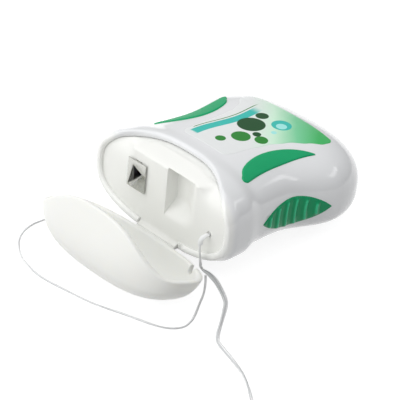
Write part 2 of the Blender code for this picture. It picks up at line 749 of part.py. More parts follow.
def make_spool():
    """Cradle, axle, bobbin, winding and the lead that runs to the exit."""
    place, radius, height = spool_place(), bobbin_radius(), bobbin_height()
    arm_low = height / 2 + SPOOL_END_GAP
    arm_middle = arm_low + CRADLE_SHEET / 2
    web_front = cradle_front()
    plastic = material("cradle_plastic", (0.80, 0.80, 0.78), 0.45)

    web_centre = (web_front + CRADLE_SHEET / 2, 0.0, 0.0)
    cradle = block("spool_cradle", web_centre, (CRADLE_SHEET, CRADLE_WEB_WIDTH, CRADLE_WEB_HEIGHT))
    for direction in (-1, 1):
        level = direction * arm_middle
        arm_size = (place - web_front, CRADLE_ARM_WIDTH, CRADLE_SHEET)
        arm = block("arm", ((place + web_front) / 2, 0.0, level), arm_size)
        join(arm, rod("arm_end", (place, 0.0, level), CRADLE_ARM_WIDTH / 2, CRADLE_SHEET, "Z"))
        join(cradle, arm)
    axle_place = (place, 0.0, 0.0)
    cut(cradle, rod("bore", axle_place, AXLE_RADIUS + SEAT_GAP, 2 * height, "Z"))
    dress(cradle, plastic)

    head_low = arm_low + CRADLE_SHEET + SEAT_GAP
    axle = rod("spool_axle", axle_place, AXLE_RADIUS, 2 * head_low + AXLE_HEAD_THICKNESS, "Z")
    for direction in (-1, 1):
        level = direction * (head_low + AXLE_HEAD_THICKNESS / 2)
        join(axle, rod("head", (place, 0.0, level), AXLE_HEAD_RADIUS, AXLE_HEAD_THICKNESS, "Z"))
    dress(axle, plastic)

    bobbin = rod("spool_bobbin", (0.0, 0.0, 0.0), radius, height, "Z", 48)
    gap_height = height - 2 * FLANGE_THICKNESS
    trough = rod("trough", (0.0, 0.0, 0.0), 2 * radius, gap_height, "Z", 48)
    cut(trough, rod("hub", (0.0, 0.0, 0.0), BOBBIN_HUB_RADIUS, 2 * gap_height, "Z", 48))
    cut(bobbin, trough, rod("bore", (0.0, 0.0, 0.0), AXLE_RADIUS + RUNNING_GAP, 2 * height, "Z"))
    bobbin.location = axle_place
    dress(bobbin, material("bobbin_plastic", (0.75, 0.78, 0.80), 0.45))

    winding_height = gap_height - 2 * SEAT_GAP
    winding_radius = radius - FLANGE_LAP
    winding = rod("floss_winding", (0.0, 0.0, 0.0), winding_radius, winding_height, "Z", 48)
    inner = BOBBIN_HUB_RADIUS + SEAT_GAP
    cut(winding, rod("core", (0.0, 0.0, 0.0), inner, 2 * winding_height, "Z", 48))
    winding.location = axle_place
    dress(winding, material("floss_white", (0.88, 0.88, 0.86), 0.6))


def tube(name, points, diameter, finish, roundness=2):
    """A cord's solid: a poly curve with a round bevel and filled caps."""
    curve = bpy.data.curves.new(name, "CURVE")
    curve.dimensions = "3D"
    curve.bevel_depth = diameter / 2
    curve.bevel_resolution = roundness
    curve.use_fill_caps = True
    spline = curve.splines.new("POLY")
    spline.points.add(len(points) - 1)
    for point, place in zip(spline.points, points):
        point.co = (*place, 1.0)
    curve.materials.append(finish)
    return link(name, curve)


def make_lead():
    """The stretch of floss from the winding to the exit, straight and ending in the exit."""
    reach = bobbin_radius() - FLANGE_LAP + SEAT_GAP + FLOSS_DIAMETER / 2
    start = Vector((spool_place(), -reach, 0.0))
    stop = Vector((LIP_HEIGHT, exit_side(), EXIT_UP))
    points = [start.lerp(stop, step / 12) for step in range(13)]
    tube("floss_lead", points, FLOSS_DIAMETER, bpy.data.materials["floss_white"])


def smooth_route(route, spacing):
    """Reads evenly spaced points from a smooth curve through a route's own points."""
    corners = [Vector(place) * MM for place in route]
    padded = [2 * corners[0] - corners[1]] + corners + [2 * corners[-1] - corners[-2]]
    fine_steps = 16
    fine = []
    for index in range(len(corners) - 1):
        before, first, last, after = padded[index:index + 4]
        for step in range(fine_steps):
            share = step / fine_steps
            square = 2 * before - 5 * first + 4 * last - after
            cube = 3 * first - before - 3 * last + after
            bend = 2 * first + (last - before) * share + square * share ** 2 + cube * share ** 3
            fine.append(bend / 2)
    fine.append(corners[-1])
    total = sum((last - first).length for first, last in zip(fine, fine[1:]))
    count = max(2, round(total / spacing))
    points, run, target = [fine[0]], 0.0, total / count
    for first, last in zip(fine, fine[1:]):
        length = (last - first).length
        while len(points) < count and run + length >= target * len(points):
            points.append(first.lerp(last, (target * len(points) - run) / length))
        run += length
    return points + [fine[-1]], total


def coil_points(tail):
    """The coil's centre line: on from the tail's end, in on the table, up a layer and out again."""
    heading = (tail[-1] - tail[-2]).normalized()
    heading.z = 0
    start = tail[-1] + heading * SEAT_GAP
    entry = start + heading * FLOSS_DIAMETER
    turned = math.atan2(-heading.x, heading.y)
    centre = entry - COIL_OUTER_RADIUS * Vector((math.cos(turned), math.sin(turned), 0))
    points = [start]
    steps_a_layer = round(COIL_TURNS * COIL_STEP_COUNT)
    half_turn = COIL_STEP_COUNT // 2
    level = FLOSS_DIAMETER / 2 + TABLE_GAP
    reach = COIL_OUTER_RADIUS - COIL_INNER_RADIUS
    for step in range(2 * steps_a_layer + half_turn + 1):
        inward = min(step, steps_a_layer)
        outward = max(0, step - steps_a_layer - half_turn)
        radius = COIL_OUTER_RADIUS - reach * (inward - outward) / steps_a_layer
        climb = smooth_step((step - steps_a_layer) / half_turn)
        angle = turned + 2 * math.pi * step / COIL_STEP_COUNT
        out = Vector((math.cos(angle), math.sin(angle), 0))
        place = centre + radius * out
        place.z = level + COIL_LAYER * climb
        points.append(place)
    return points


def least_gap(points, diameter):
    """Least gap between stretches of one tube that are more than half a loop apart."""
    least = math.inf
    for index, first in enumerate(points):
        for other in points[index + COIL_STEP_COUNT // 2:]:
            least = min(least, (first - other).length - diameter)
    return least


def make_free_floss():
    """The tail over the table, the coil of its unseen length and the thin side strand."""
    finish = bpy.data.materials["floss_white"]
    tail, tail_length = smooth_route(TAIL_ROUTE, TAIL_SPACING)
    strand, strand_length = smooth_route(STRAND_ROUTE, STRAND_SPACING)
    coil = coil_points(tail)
    coil_length = sum((last - first).length for first, last in zip(coil, coil[1:]))
    print("tail", tail_length, "m; coil", coil_length, "m; strand", strand_length, "m")
    print("least gap in the coil", least_gap(coil, FLOSS_DIAMETER), "m")
    tube("floss_tail", tail, FLOSS_DIAMETER, finish)
    tube("floss_coil", coil, FLOSS_DIAMETER, finish, roundness=1)
    tube("floss_side_strand", strand, STRAND_DIAMETER, finish)


def lowest_level(parts, tilt):
    """Height of the lowest point of some parts, in the case's frame, after a tilt about Y."""
    turn = Matrix.Rotation(tilt, 4, "Y")
    level = math.inf
    for part in parts:
        place = turn @ part.matrix_world
        for vertex in part.data.vertices:
            level = min(level, (place @ vertex.co).z)
    return level


def resting_tilt(lid, shell):
    """Finds the tilt at which the open lid and the case stand on one plane."""
    flat, steep = 0.0, math.radians(30)
    for _ in range(40):
        middle = (flat + steep) / 2
        if lowest_level([lid], middle) < lowest_level([shell], middle):
            flat = middle
        else:
            steep = middle
    return (flat + steep) / 2


def main():
    """Builds every piece, opens the lid, tips the case and puts it on the table."""
    for old in list(bpy.data.objects):
        bpy.data.objects.remove(old)

    shell = make_case()
    make_crescents()
    make_grips()
    make_label()
    make_deck()
    make_cutter()
    make_hinge_web()
    lid = make_lid()
    make_spool()
    make_lead()

    case_frame = bpy.data.objects.new("case_frame", None)
    hinge_frame = bpy.data.objects.new("hinge_frame", None)
    for frame in (case_frame, hinge_frame):
        bpy.context.scene.collection.objects.link(frame)
    for part in bpy.context.scene.objects:
        if part not in (case_frame, hinge_frame, lid):
            part.parent = case_frame
    hinge_frame.parent = case_frame
    hinge_frame.location = hinge_axis()
    hinge_frame.rotation_euler = (0.0, -LID_OPENING, 0.0)
    lid.parent = hinge_frame
    bpy.context.view_layer.update()

    tilt = resting_tilt(lid, shell)
    case_frame.rotation_euler = (0.0, tilt, 0.0)
    bpy.context.view_layer.update()
    places = []
    for part in bpy.context.scene.objects:
        if part.type == "MESH":
            places += [part.matrix_world @ vertex.co for vertex in part.data.vertices]
    low_x, high_x = min(place.x for place in places), max(place.x for place in places)
    floor = min(place.z for place in places)
    case_frame.location = (-(low_x + high_x) / 2, 0.0, -floor)
    make_free_floss()
    bpy.context.view_layer.update()
    print("tilt in degrees", round(math.degrees(tilt), 3), "case frame at", tuple(case_frame.location))


main()
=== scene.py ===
"""Dressed dental floss dispenser: a waisted case propped on its open flip lid, floss pulled out.

The case is shaped in a frame of its own, X from mouth to base, Y across and Z towards the
label face, in metres. CASE_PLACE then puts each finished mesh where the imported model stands.
"""

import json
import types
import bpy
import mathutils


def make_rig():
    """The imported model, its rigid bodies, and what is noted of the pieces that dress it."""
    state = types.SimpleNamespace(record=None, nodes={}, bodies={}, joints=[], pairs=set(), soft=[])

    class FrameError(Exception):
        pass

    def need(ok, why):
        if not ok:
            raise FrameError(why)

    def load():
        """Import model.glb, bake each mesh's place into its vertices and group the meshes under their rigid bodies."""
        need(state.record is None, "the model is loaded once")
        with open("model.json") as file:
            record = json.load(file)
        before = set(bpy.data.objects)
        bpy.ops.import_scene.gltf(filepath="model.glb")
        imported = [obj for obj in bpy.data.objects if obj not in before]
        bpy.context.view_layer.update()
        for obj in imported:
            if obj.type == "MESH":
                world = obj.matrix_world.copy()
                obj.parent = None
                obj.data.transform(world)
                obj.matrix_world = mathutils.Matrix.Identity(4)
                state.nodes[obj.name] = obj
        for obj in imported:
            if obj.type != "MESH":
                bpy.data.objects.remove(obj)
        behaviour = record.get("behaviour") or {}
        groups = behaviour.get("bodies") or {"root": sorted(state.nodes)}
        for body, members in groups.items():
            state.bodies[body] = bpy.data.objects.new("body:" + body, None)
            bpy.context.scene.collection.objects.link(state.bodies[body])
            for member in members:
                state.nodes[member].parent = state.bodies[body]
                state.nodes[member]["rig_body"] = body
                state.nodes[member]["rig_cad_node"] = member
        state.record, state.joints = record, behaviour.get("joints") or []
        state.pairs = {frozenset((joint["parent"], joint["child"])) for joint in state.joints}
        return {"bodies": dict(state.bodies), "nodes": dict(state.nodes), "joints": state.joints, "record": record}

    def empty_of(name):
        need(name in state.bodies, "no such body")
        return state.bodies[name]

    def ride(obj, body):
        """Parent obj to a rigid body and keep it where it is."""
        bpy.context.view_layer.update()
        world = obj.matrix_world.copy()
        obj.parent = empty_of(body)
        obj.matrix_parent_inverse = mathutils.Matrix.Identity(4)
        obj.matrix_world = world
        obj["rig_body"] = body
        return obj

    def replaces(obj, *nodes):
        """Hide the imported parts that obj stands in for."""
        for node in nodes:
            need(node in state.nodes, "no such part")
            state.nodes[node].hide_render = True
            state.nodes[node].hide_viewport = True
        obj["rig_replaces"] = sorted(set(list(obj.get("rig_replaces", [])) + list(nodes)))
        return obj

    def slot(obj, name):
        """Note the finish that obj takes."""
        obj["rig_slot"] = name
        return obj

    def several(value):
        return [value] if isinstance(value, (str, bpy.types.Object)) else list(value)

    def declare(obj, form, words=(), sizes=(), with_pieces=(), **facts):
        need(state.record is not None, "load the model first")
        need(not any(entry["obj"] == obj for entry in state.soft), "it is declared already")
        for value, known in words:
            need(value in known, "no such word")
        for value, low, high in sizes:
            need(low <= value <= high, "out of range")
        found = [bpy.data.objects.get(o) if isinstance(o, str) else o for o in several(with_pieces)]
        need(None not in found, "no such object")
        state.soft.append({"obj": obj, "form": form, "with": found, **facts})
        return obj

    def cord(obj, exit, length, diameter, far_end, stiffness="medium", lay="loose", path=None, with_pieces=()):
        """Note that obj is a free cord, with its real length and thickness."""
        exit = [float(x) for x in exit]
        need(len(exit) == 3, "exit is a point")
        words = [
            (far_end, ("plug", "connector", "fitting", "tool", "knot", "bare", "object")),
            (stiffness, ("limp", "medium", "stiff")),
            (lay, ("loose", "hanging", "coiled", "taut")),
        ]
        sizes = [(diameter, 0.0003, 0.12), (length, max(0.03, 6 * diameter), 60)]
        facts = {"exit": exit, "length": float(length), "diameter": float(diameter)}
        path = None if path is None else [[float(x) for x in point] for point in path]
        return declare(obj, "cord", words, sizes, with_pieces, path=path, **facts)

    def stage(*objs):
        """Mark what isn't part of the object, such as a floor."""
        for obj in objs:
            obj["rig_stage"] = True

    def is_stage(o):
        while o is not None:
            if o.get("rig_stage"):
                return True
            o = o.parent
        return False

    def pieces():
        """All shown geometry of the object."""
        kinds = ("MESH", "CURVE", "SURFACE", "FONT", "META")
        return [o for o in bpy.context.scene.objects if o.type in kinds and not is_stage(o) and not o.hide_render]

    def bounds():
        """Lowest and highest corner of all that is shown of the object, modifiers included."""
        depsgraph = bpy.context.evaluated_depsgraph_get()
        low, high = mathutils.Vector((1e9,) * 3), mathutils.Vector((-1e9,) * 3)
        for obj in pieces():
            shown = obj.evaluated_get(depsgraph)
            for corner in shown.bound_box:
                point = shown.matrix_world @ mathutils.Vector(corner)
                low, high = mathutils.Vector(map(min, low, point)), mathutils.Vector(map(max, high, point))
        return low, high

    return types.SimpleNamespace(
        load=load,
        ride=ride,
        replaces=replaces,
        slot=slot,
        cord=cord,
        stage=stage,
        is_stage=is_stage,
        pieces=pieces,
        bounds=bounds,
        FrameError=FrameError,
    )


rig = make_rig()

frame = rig.load()

import json
import logging
import math
from contextlib import contextmanager
from dataclasses import dataclass, field, replace
from enum import Enum
from typing import Callable, Iterator, Sequence

import bpy
from mathutils import Matrix, Vector

CAD_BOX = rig.bounds()
MM = 0.001
SEAM_WELD = 0.01 * MM
FINE_WELD = 0.002 * MM
NODE_WELD = 0.004 * MM
CORD_WELD = 0.0005 * MM
SIZE_FILE = "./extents.json"
log = logging.getLogger("floss_dispenser")

Point = tuple[float, float, float]
Surface = Callable[[float, float], Point]


class Body(Enum):
    """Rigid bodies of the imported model."""

    CASE = "case"
    LID = "lid"
    SPOOL = "spool"


class Face(Enum):
    """Face of the case that an inlay lies in, with the way that it looks."""

    LABEL = (0, 0, 1)
    FAR_SIDE = (0, 1, 0)
    NEAR_SIDE = (0, -1, 0)


class Value:
    """A shader value with Python's arithmetic."""

    def __init__(self, board: "Board", socket: bpy.types.NodeSocket) -> None:
        """Wraps a socket.

        Args:
            board: The board that owns the node.
            socket: The output socket that carries the value.
        """
        self.board = board
        self.socket = socket

    def __add__(self, other: "Value | float") -> "Value":
        """Sum."""
        return self.board.maths("ADD", self, other)

    def __radd__(self, other: float) -> "Value":
        """Sum with a number on the left."""
        return self.board.maths("ADD", other, self)

    def __sub__(self, other: "Value | float") -> "Value":
        """Difference."""
        return self.board.maths("SUBTRACT", self, other)

    def __rsub__(self, other: float) -> "Value":
        """Difference with a number on the left."""
        return self.board.maths("SUBTRACT", other, self)

    def __mul__(self, other: "Value | float") -> "Value":
        """Product."""
        return self.board.maths("MULTIPLY", self, other)

    def __rmul__(self, other: float) -> "Value":
        """Product with a number on the left."""
        return self.board.maths("MULTIPLY", other, self)

    def __truediv__(self, other: "Value | float") -> "Value":
        """Quotient."""
        return self.board.maths("DIVIDE", self, other)

    def sine(self) -> "Value":
        """Sine of the value in radians."""
        return self.board.maths("SINE", self, 0.0)

    def larger(self, other: "Value | float") -> "Value":
        """The larger of two values."""
        return self.board.maths("MAXIMUM", self, other)

    def step(self, start: float, stop: float) -> "Value":
        """Eases from 0 at start to 1 at stop.

        Args:
            start: Value that gives 0.
            stop: Value that gives 1.

        Returns:
            The eased value.
        """
        low, high, flip = (start, stop, False) if start <= stop else (stop, start, True)
        node = self.board.node(
            "ShaderNodeMapRange", {"interpolation_type": "SMOOTHSTEP"},
            {"Value": self, "From Min": low, "From Max": high},
        )
        eased = Value(self.board, node.outputs["Result"])
        return 1.0 - eased if flip else eased


class Board:
    """Node board of one material or of the surroundings."""

    def __init__(self, owner: bpy.types.Material | bpy.types.World) -> None:
        """Opens the nodes that a new material or world starts with.

        Args:
            owner: The material or the world.
        """
        owner.use_nodes = True
        self.owner = owner
        self.tree = owner.node_tree
        self.shader = self.tree.nodes.get("Principled BSDF")

    @classmethod
    def of(cls, name: str) -> "Board":
        """Starts a new material by its name."""
        return cls(bpy.data.materials.new(name))

    def node(self, kind: str, settings: dict | None = None, sockets: dict | None = None) -> bpy.types.Node:
        """Adds a node.

        Args:
            kind: Type of the node.
            settings: Properties of the node, set first.
            sockets: Values or links of its inputs, by name or index.

        Returns:
            The new node.
        """
        made = self.tree.nodes.new(kind)
        for key, setting in (settings or {}).items():
            if key == "stops":
                ramp = made.color_ramp
                while len(ramp.elements) < len(setting):
                    ramp.elements.new(1.0)
                for element, (place, colour) in zip(ramp.elements, setting):
                    element.position = place
                    element.color = (*colour, 1.0)
            else:
                setattr(made, key, setting)
        for key, given in (sockets or {}).items():
            self.feed(made.inputs[key], given)
        return made

    def feed(self, socket: bpy.types.NodeSocket, given: object) -> None:
        """Links a value to a socket or sets it there.

        Args:
            socket: The input socket.
            given: A value, an output socket, or a plain number, vector or colour.
        """
        given = given.socket if isinstance(given, Value) else given
        if isinstance(given, bpy.types.NodeSocket):
            self.tree.links.new(given, socket)
        else:
            socket.default_value = given

    def maths(self, operation: str, first: object, second: object) -> Value:
        """One Math node."""
        made = self.node("ShaderNodeMath", {"operation": operation}, {0: first, 1: second})
        return Value(self, made.outputs[0])

    def place(self) -> bpy.types.NodeSocket:
        """Object coordinates, in metres."""
        return self.node("ShaderNodeTexCoord").outputs["Object"]

    def parts(self, vector: bpy.types.NodeSocket) -> tuple[Value, Value, Value]:
        """The three parts of a vector."""
        made = self.node("ShaderNodeSeparateXYZ", {}, {0: vector})
        return tuple(Value(self, made.outputs[index]) for index in range(3))

    def own_map(self, name: str) -> tuple[Value, Value, Value]:
        """The parts of one of the piece's own UV maps."""
        made = self.node("ShaderNodeUVMap", {"uv_map": name})
        return self.parts(made.outputs["UV"])

    def stretched(self, vector: bpy.types.NodeSocket, scale: Point) -> bpy.types.NodeSocket:
        """A vector scaled by three numbers."""
        made = self.node("ShaderNodeMapping", {}, {"Vector": vector, "Scale": scale})
        return made.outputs["Vector"]

    def noise(self, vector: object, size: float, detail: float = 2.0) -> Value:
        """Noise whose spots measure about a given size.

        Args:
            vector: Coordinates in metres.
            size: Size of a spot in metres.
            detail: Octaves of finer noise.

        Returns:
            The noise, from 0 to 1.
        """
        made = self.node(
            "ShaderNodeTexNoise", {}, {"Vector": vector, "Scale": 1.0 / size, "Detail": detail},
        )
        return Value(self, made.outputs["Fac"])

    def mixed(self, share: object, first: object, second: object) -> bpy.types.NodeSocket:
        """Mixes two colours.

        Args:
            share: Share of the second colour.
            first: Colour or socket at share 0.
            second: Colour or socket at share 1.

        Returns:
            The mixed colour's socket.
        """
        made = self.node("ShaderNodeMix", {"data_type": "RGBA"}, {"Factor": share})
        sockets = [one for one in made.inputs if one.type == "RGBA"]
        for socket, given in zip(sockets, (first, second)):
            if isinstance(given, tuple):
                socket.default_value = (*given, 1.0)
            else:
                self.feed(socket, given)
        return next(one for one in made.outputs if one.type == "RGBA")

    def tinted(self, colour: Point, varied: Value, spread: float) -> bpy.types.NodeSocket:
        """A colour that grows a little darker and lighter with a value round a half.

        Args:
            colour: The colour at a half.
            varied: The value.
            spread: Share by which it changes at 0 and 1.

        Returns:
            The tinted colour's socket.
        """
        dark = tuple(channel * (1 - spread) for channel in colour)
        light = tuple(min(1.0, channel * (1 + spread)) for channel in colour)
        return self.mixed(varied, dark, light)

    def bump(self, height: Value, distance: float, strength: float = 1.0) -> None:
        """Feeds a height into the shader's normal.

        Args:
            height: Height from 0 to 1.
            distance: Height of 1 in metres.
            strength: Share of the bump that shows.
        """
        made = self.node(
            "ShaderNodeBump", {}, {"Height": height, "Distance": distance, "Strength": strength},
        )
        self.feed(self.shader.inputs["Normal"], made.outputs["Normal"])

    def set(self, **sockets: object) -> None:
        """Sets or links sockets of the shader; an underscore stands for a space."""
        for key, given in sockets.items():
            socket = self.shader.inputs[key.replace("_", " ")]
            if isinstance(given, tuple) and len(given) == 3 and socket.type == "RGBA":
                given = (*given, 1.0)
            self.feed(socket, given)


@dataclass(frozen=True)
class MouldedPlastic:
    """Moulded plastic with a fine flow texture, faint scuffs and an uneven gloss.

    The case's rim at the mouth may get painted light: a paler colour, since light from the milky deck fills it.
    """

    name: str
    colour: Point
    roughness: float
    gloss_spread: float = 0.05
    grain: float = 0.6 * MM
    grain_height: float = 0.004 * MM
    scuffs: float = 0.10
    milkiness: float = 0.0
    milk_reach: float = 1.2 * MM
    coat: float = 0.0
    painted_rim_light: float = 0.0
    painted_rim_light_colour: Point = (0.93, 0.935, 0.91)
    painted_rim_light_zone: tuple[float, float] = (2.6 * MM, 0.8 * MM)
    cloud_size: float = 9 * MM
    tint: float = 0.012

    def make(self) -> bpy.types.Material:
        """Builds the material.

        Returns:
            The new material.
        """
        board = Board.of(self.name)
        place = board.place()
        cloud = board.noise(place, self.cloud_size, 3.0)
        fine = board.noise(place, self.grain, 2.0)
        hair = board.noise(board.stretched(place, (40.0, 900.0, 700.0)), 1.0, 1.0)
        other_hair = board.noise(board.stretched(place, (800.0, 60.0, 500.0)), 1.0, 1.0)
        scuff = hair.step(0.66, 0.74).larger(other_hair.step(0.68, 0.76))
        rough = cloud * self.gloss_spread + scuff * self.scuffs + (self.roughness - self.gloss_spread / 2)
        colour = board.tinted(self.colour, cloud, self.tint)
        # Painted light: near the mouth the colour is mixed towards a paler one, standing in for light from the deck.
        if self.painted_rim_light:
            x, _, z = board.parts(place)
            origin = CASE_PLACE.translation
            back = (x - origin.x) * math.cos(TILT) - (z - origin.z) * math.sin(TILT)
            colour = board.mixed(back.step(*self.painted_rim_light_zone) * self.painted_rim_light, colour, self.painted_rim_light_colour)
        board.set(
            Base_Color=colour, Roughness=rough,
            Coat_Weight=self.coat, Coat_Roughness=0.08, IOR=1.49,
        )
        if self.milkiness:
            board.set(Subsurface_Weight=self.milkiness, Subsurface_Scale=self.milk_reach)
            board.shader.inputs["Subsurface Radius"].default_value = (1.0, 0.95, 0.8)
        board.bump(fine, self.grain_height)
        return board.owner


@dataclass(frozen=True)
class SoftRubber:
    """Soft-touch rubber with a fine matt tooth, with a painted highlight that makes its raised ribs lighter."""

    name: str
    colour: Point
    # Lighter colour of the painted highlight on the rib tops.
    raised: Point
    roughness: float = 0.42
    gloss: float = 0.22

    def make(self) -> bpy.types.Material:
        """Builds the material, which reads the piece's own map "height".

        Returns:
            The new material.
        """
        board = Board.of(self.name)
        place = board.place()
        cloud = board.noise(place, 3 * MM, 3.0)
        tooth = board.noise(place, 0.12 * MM, 2.0)
        height = board.own_map("height")[0]
        # Painted highlight: the rib tops are mixed towards the lighter colour; they also get a lower roughness.
        painted_shading_share = height.step(0.74, 1.0)
        body = board.tinted(self.colour, cloud, 0.06)
        board.set(
            Base_Color=board.mixed(painted_shading_share * 0.75, body, self.raised),
            Roughness=cloud * 0.10 + (self.roughness - 0.05) - painted_shading_share * 0.06,
            Specular_IOR_Level=self.gloss,
        )
        board.bump(tooth, 0.008 * MM)
        return board.owner


@dataclass(frozen=True)
class PrintedFilm:
    """Label film: white that fades to green, with plain round spots, a wavy band and a painted shade line along part
    of its edge.

    Places are in label lengths: along from the front end and out to the far side.
    """

    name: str = "label_print"
    white: Point = (0.78, 0.80, 0.80)
    pale: Point = (0.62, 0.86, 0.68)
    mint: Point = (0.20, 0.62, 0.34)
    green: Point = (0.055, 0.48, 0.13)
    deep_green: Point = (0.004, 0.070, 0.014)
    leaf_green: Point = (0.020, 0.23, 0.028)
    teal: Point = (0.035, 0.50, 0.44)
    pale_teal: Point = (0.36, 0.80, 0.76)
    painted_edge_shade: Point = (0.60, 0.66, 0.63)

    @staticmethod
    def spot(along: Value, out: Value, spec: Sequence[float]) -> Value:
        """Mask of one soft-edged round spot.

        Args:
            along: Place along the label.
            out: Place across the label.
            spec: Centre along, centre across and radius.

        Returns:
            1 inside the spot and 0 outside.
        """
        run = (along - spec[0]) / spec[2]
        side = (out - spec[1]) / spec[2]
        distance = run * run + side * side
        return distance.step(1.06, 0.94)

    def make(self) -> bpy.types.Material:
        """Builds the material, which reads the piece's own map "print".

        Returns:
            The new material.
        """
        board = Board.of(self.name)
        along, out, _ = board.own_map("print")
        cloud = board.noise(board.place(), 5 * MM, 2.0)
        ground = board.node(
            "ShaderNodeValToRGB",
            {"stops": ((0.40, self.white), (0.60, self.pale), (0.80, self.mint), (1.0, self.green))},
            {"Fac": along * 0.75 - out * 0.75 + cloud * 0.04 - 0.02},
        ).outputs["Color"]
        line = out - (along * 8.0 + 0.4).sine() * 0.022 - 0.165
        band = line.step(0.046, 0.040) * line.step(-0.046, -0.040)
        thin = line.step(0.074, 0.069) * line.step(0.058, 0.063)
        band = band * along.step(0.06, 0.09) * along.step(0.82, 0.70)
        thin = thin * along.step(0.12, 0.15) * along.step(0.88, 0.78)
        colour = board.mixed(band, ground, self.teal)
        colour = board.mixed(thin, colour, self.leaf_green)
        groups = (
            (self.leaf_green, ((0.33, -0.10, 0.080), (0.43, -0.235, 0.056), (0.17, -0.03, 0.044))),
            (self.deep_green, ((0.54, 0.0, 0.118), (0.72, 0.060, 0.056), (0.46, -0.150, 0.036))),
            (self.teal, ((0.74, -0.15, 0.085),)),
            (self.pale_teal, ((0.725, -0.165, 0.046), (0.60, -0.205, 0.024))),
        )
        for tone, (first, *others) in groups:
            mask = self.spot(along, out, first)
            for spec in others:
                mask = mask.larger(self.spot(along, out, spec))
            colour = board.mixed(mask, colour, tone)
        # Painted shade: a greyer line along the film's rounded edge, towards the base end.
        edge = board.own_map("height")[0].step(0.30, 0.02) * (along * 0.75 - out * 0.5).step(0.30, 0.55)
        board.set(
            Base_Color=board.mixed(edge * 0.35, colour, self.painted_edge_shade),
            Roughness=cloud * 0.08 + 0.30, Specular_IOR_Level=0.25,
        )
        board.bump(board.noise(board.place(), 4.0 * MM, 2.0), 0.008 * MM)
        return board.owner


@dataclass(frozen=True)
class BrushedSteel:
    """Thin pressed steel with its rolling lines and a few smears."""

    name: str = "pressed_steel"
    colour: Point = (0.53, 0.535, 0.505)

    def make(self) -> bpy.types.Material:
        """Builds the material.

        Returns:
            The new material.
        """
        board = Board.of(self.name)
        place = board.place()
        lines = board.noise(board.stretched(place, (9000.0, 9000.0, 350.0)), 1.0, 2.0)
        smear = board.noise(place, 1.5 * MM, 2.0)
        board.set(
            Base_Color=board.tinted(self.colour, lines, 0.10), Metallic=1.0,
            Roughness=lines * 0.10 + smear * 0.08 + 0.17,
        )
        board.bump(lines, 0.002 * MM)
        return board.owner


@dataclass(frozen=True)
class WaxedFibre:
    """Bundle of waxed white fibres that run along a cord with a slow twist, with painted shade in its grooves, less
    marked at its start so that the start shows paler.
    """

    name: str
    colour: Point = (0.90, 0.91, 0.91)
    shade: Point = (0.50, 0.51, 0.52)
    strands: float = 7.0
    plies: float = 2.0
    twists_a_metre: float = 90.0
    painted_pale_length: float = 0.0

    def make(self) -> bpy.types.Material:
        """Builds the material, which reads the piece's own map "fibre", in metres along it.

        Returns:
            The new material.
        """
        board = Board.of(self.name)
        along, round_share, _ = board.own_map("fibre")
        fleck = board.noise(board.place(), 0.8 * MM, 3.0)
        full = 2 * math.pi
        turn = round_share * (full * self.strands) + along * (full * self.twists_a_metre)
        ridge = (turn + fleck * 3.0).sine() * 0.5 + 0.5
        ply = (round_share * (full * self.plies) + along * 40.0 + fleck * 1.2).sine() * 0.5 + 0.5
        # Painted shade: the grooves between strands and plies are mixed towards the darker shade colour.
        groove_shade = ridge.step(0.30, 0.0).larger(ply.step(0.32, 0.04))
        # Painted light: over the first stretch the painted shade in the grooves is weaker, so the start shows paler.
        painted_shading_share = along.step(self.painted_pale_length * 0.6, self.painted_pale_length + 0.1 * MM)
        groove_shade = groove_shade * (painted_shading_share * 0.75 + 0.25)
        board.set(
            Base_Color=board.mixed(groove_shade * 0.8, board.tinted(self.colour, fleck, 0.05), self.shade),
            Roughness=fleck * 0.20 + 0.42, Sheen_Weight=0.25, Sheen_Roughness=0.3,
        )
        board.bump(ridge, 0.05 * MM, 0.8)
        return board.owner


@dataclass(frozen=True)
class WoundFibre:
    """Floss wound on the bobbin: fine turns one above the other, with painted shade in the grooves between them."""

    name: str = "wound_floss"
    colour: Point = (0.82, 0.83, 0.82)
    groove_shade: Point = (0.45, 0.46, 0.46)
    turn_height: float = 0.45 * MM

    def make(self) -> bpy.types.Material:
        """Builds the material; the turns lie square to the spool's axis.

        Returns:
            The new material.
        """
        board = Board.of(self.name)
        place = board.place()
        x, _, z = board.parts(place)
        fleck = board.noise(place, 1.0 * MM, 2.0)
        level = x * math.sin(TILT) + z * math.cos(TILT)
        ridge = (level * (2 * math.pi / self.turn_height) + fleck * 1.5).sine() * 0.5 + 0.5
        # Painted shade: the grooves between turns are mixed towards the darker colour.
        board.set(
            Base_Color=board.mixed(ridge.step(0.3, 0.0) * 0.5, self.colour, self.groove_shade),
            Roughness=fleck * 0.15 + 0.45,
        )
        board.bump(ridge, 0.08 * MM)
        return board.owner


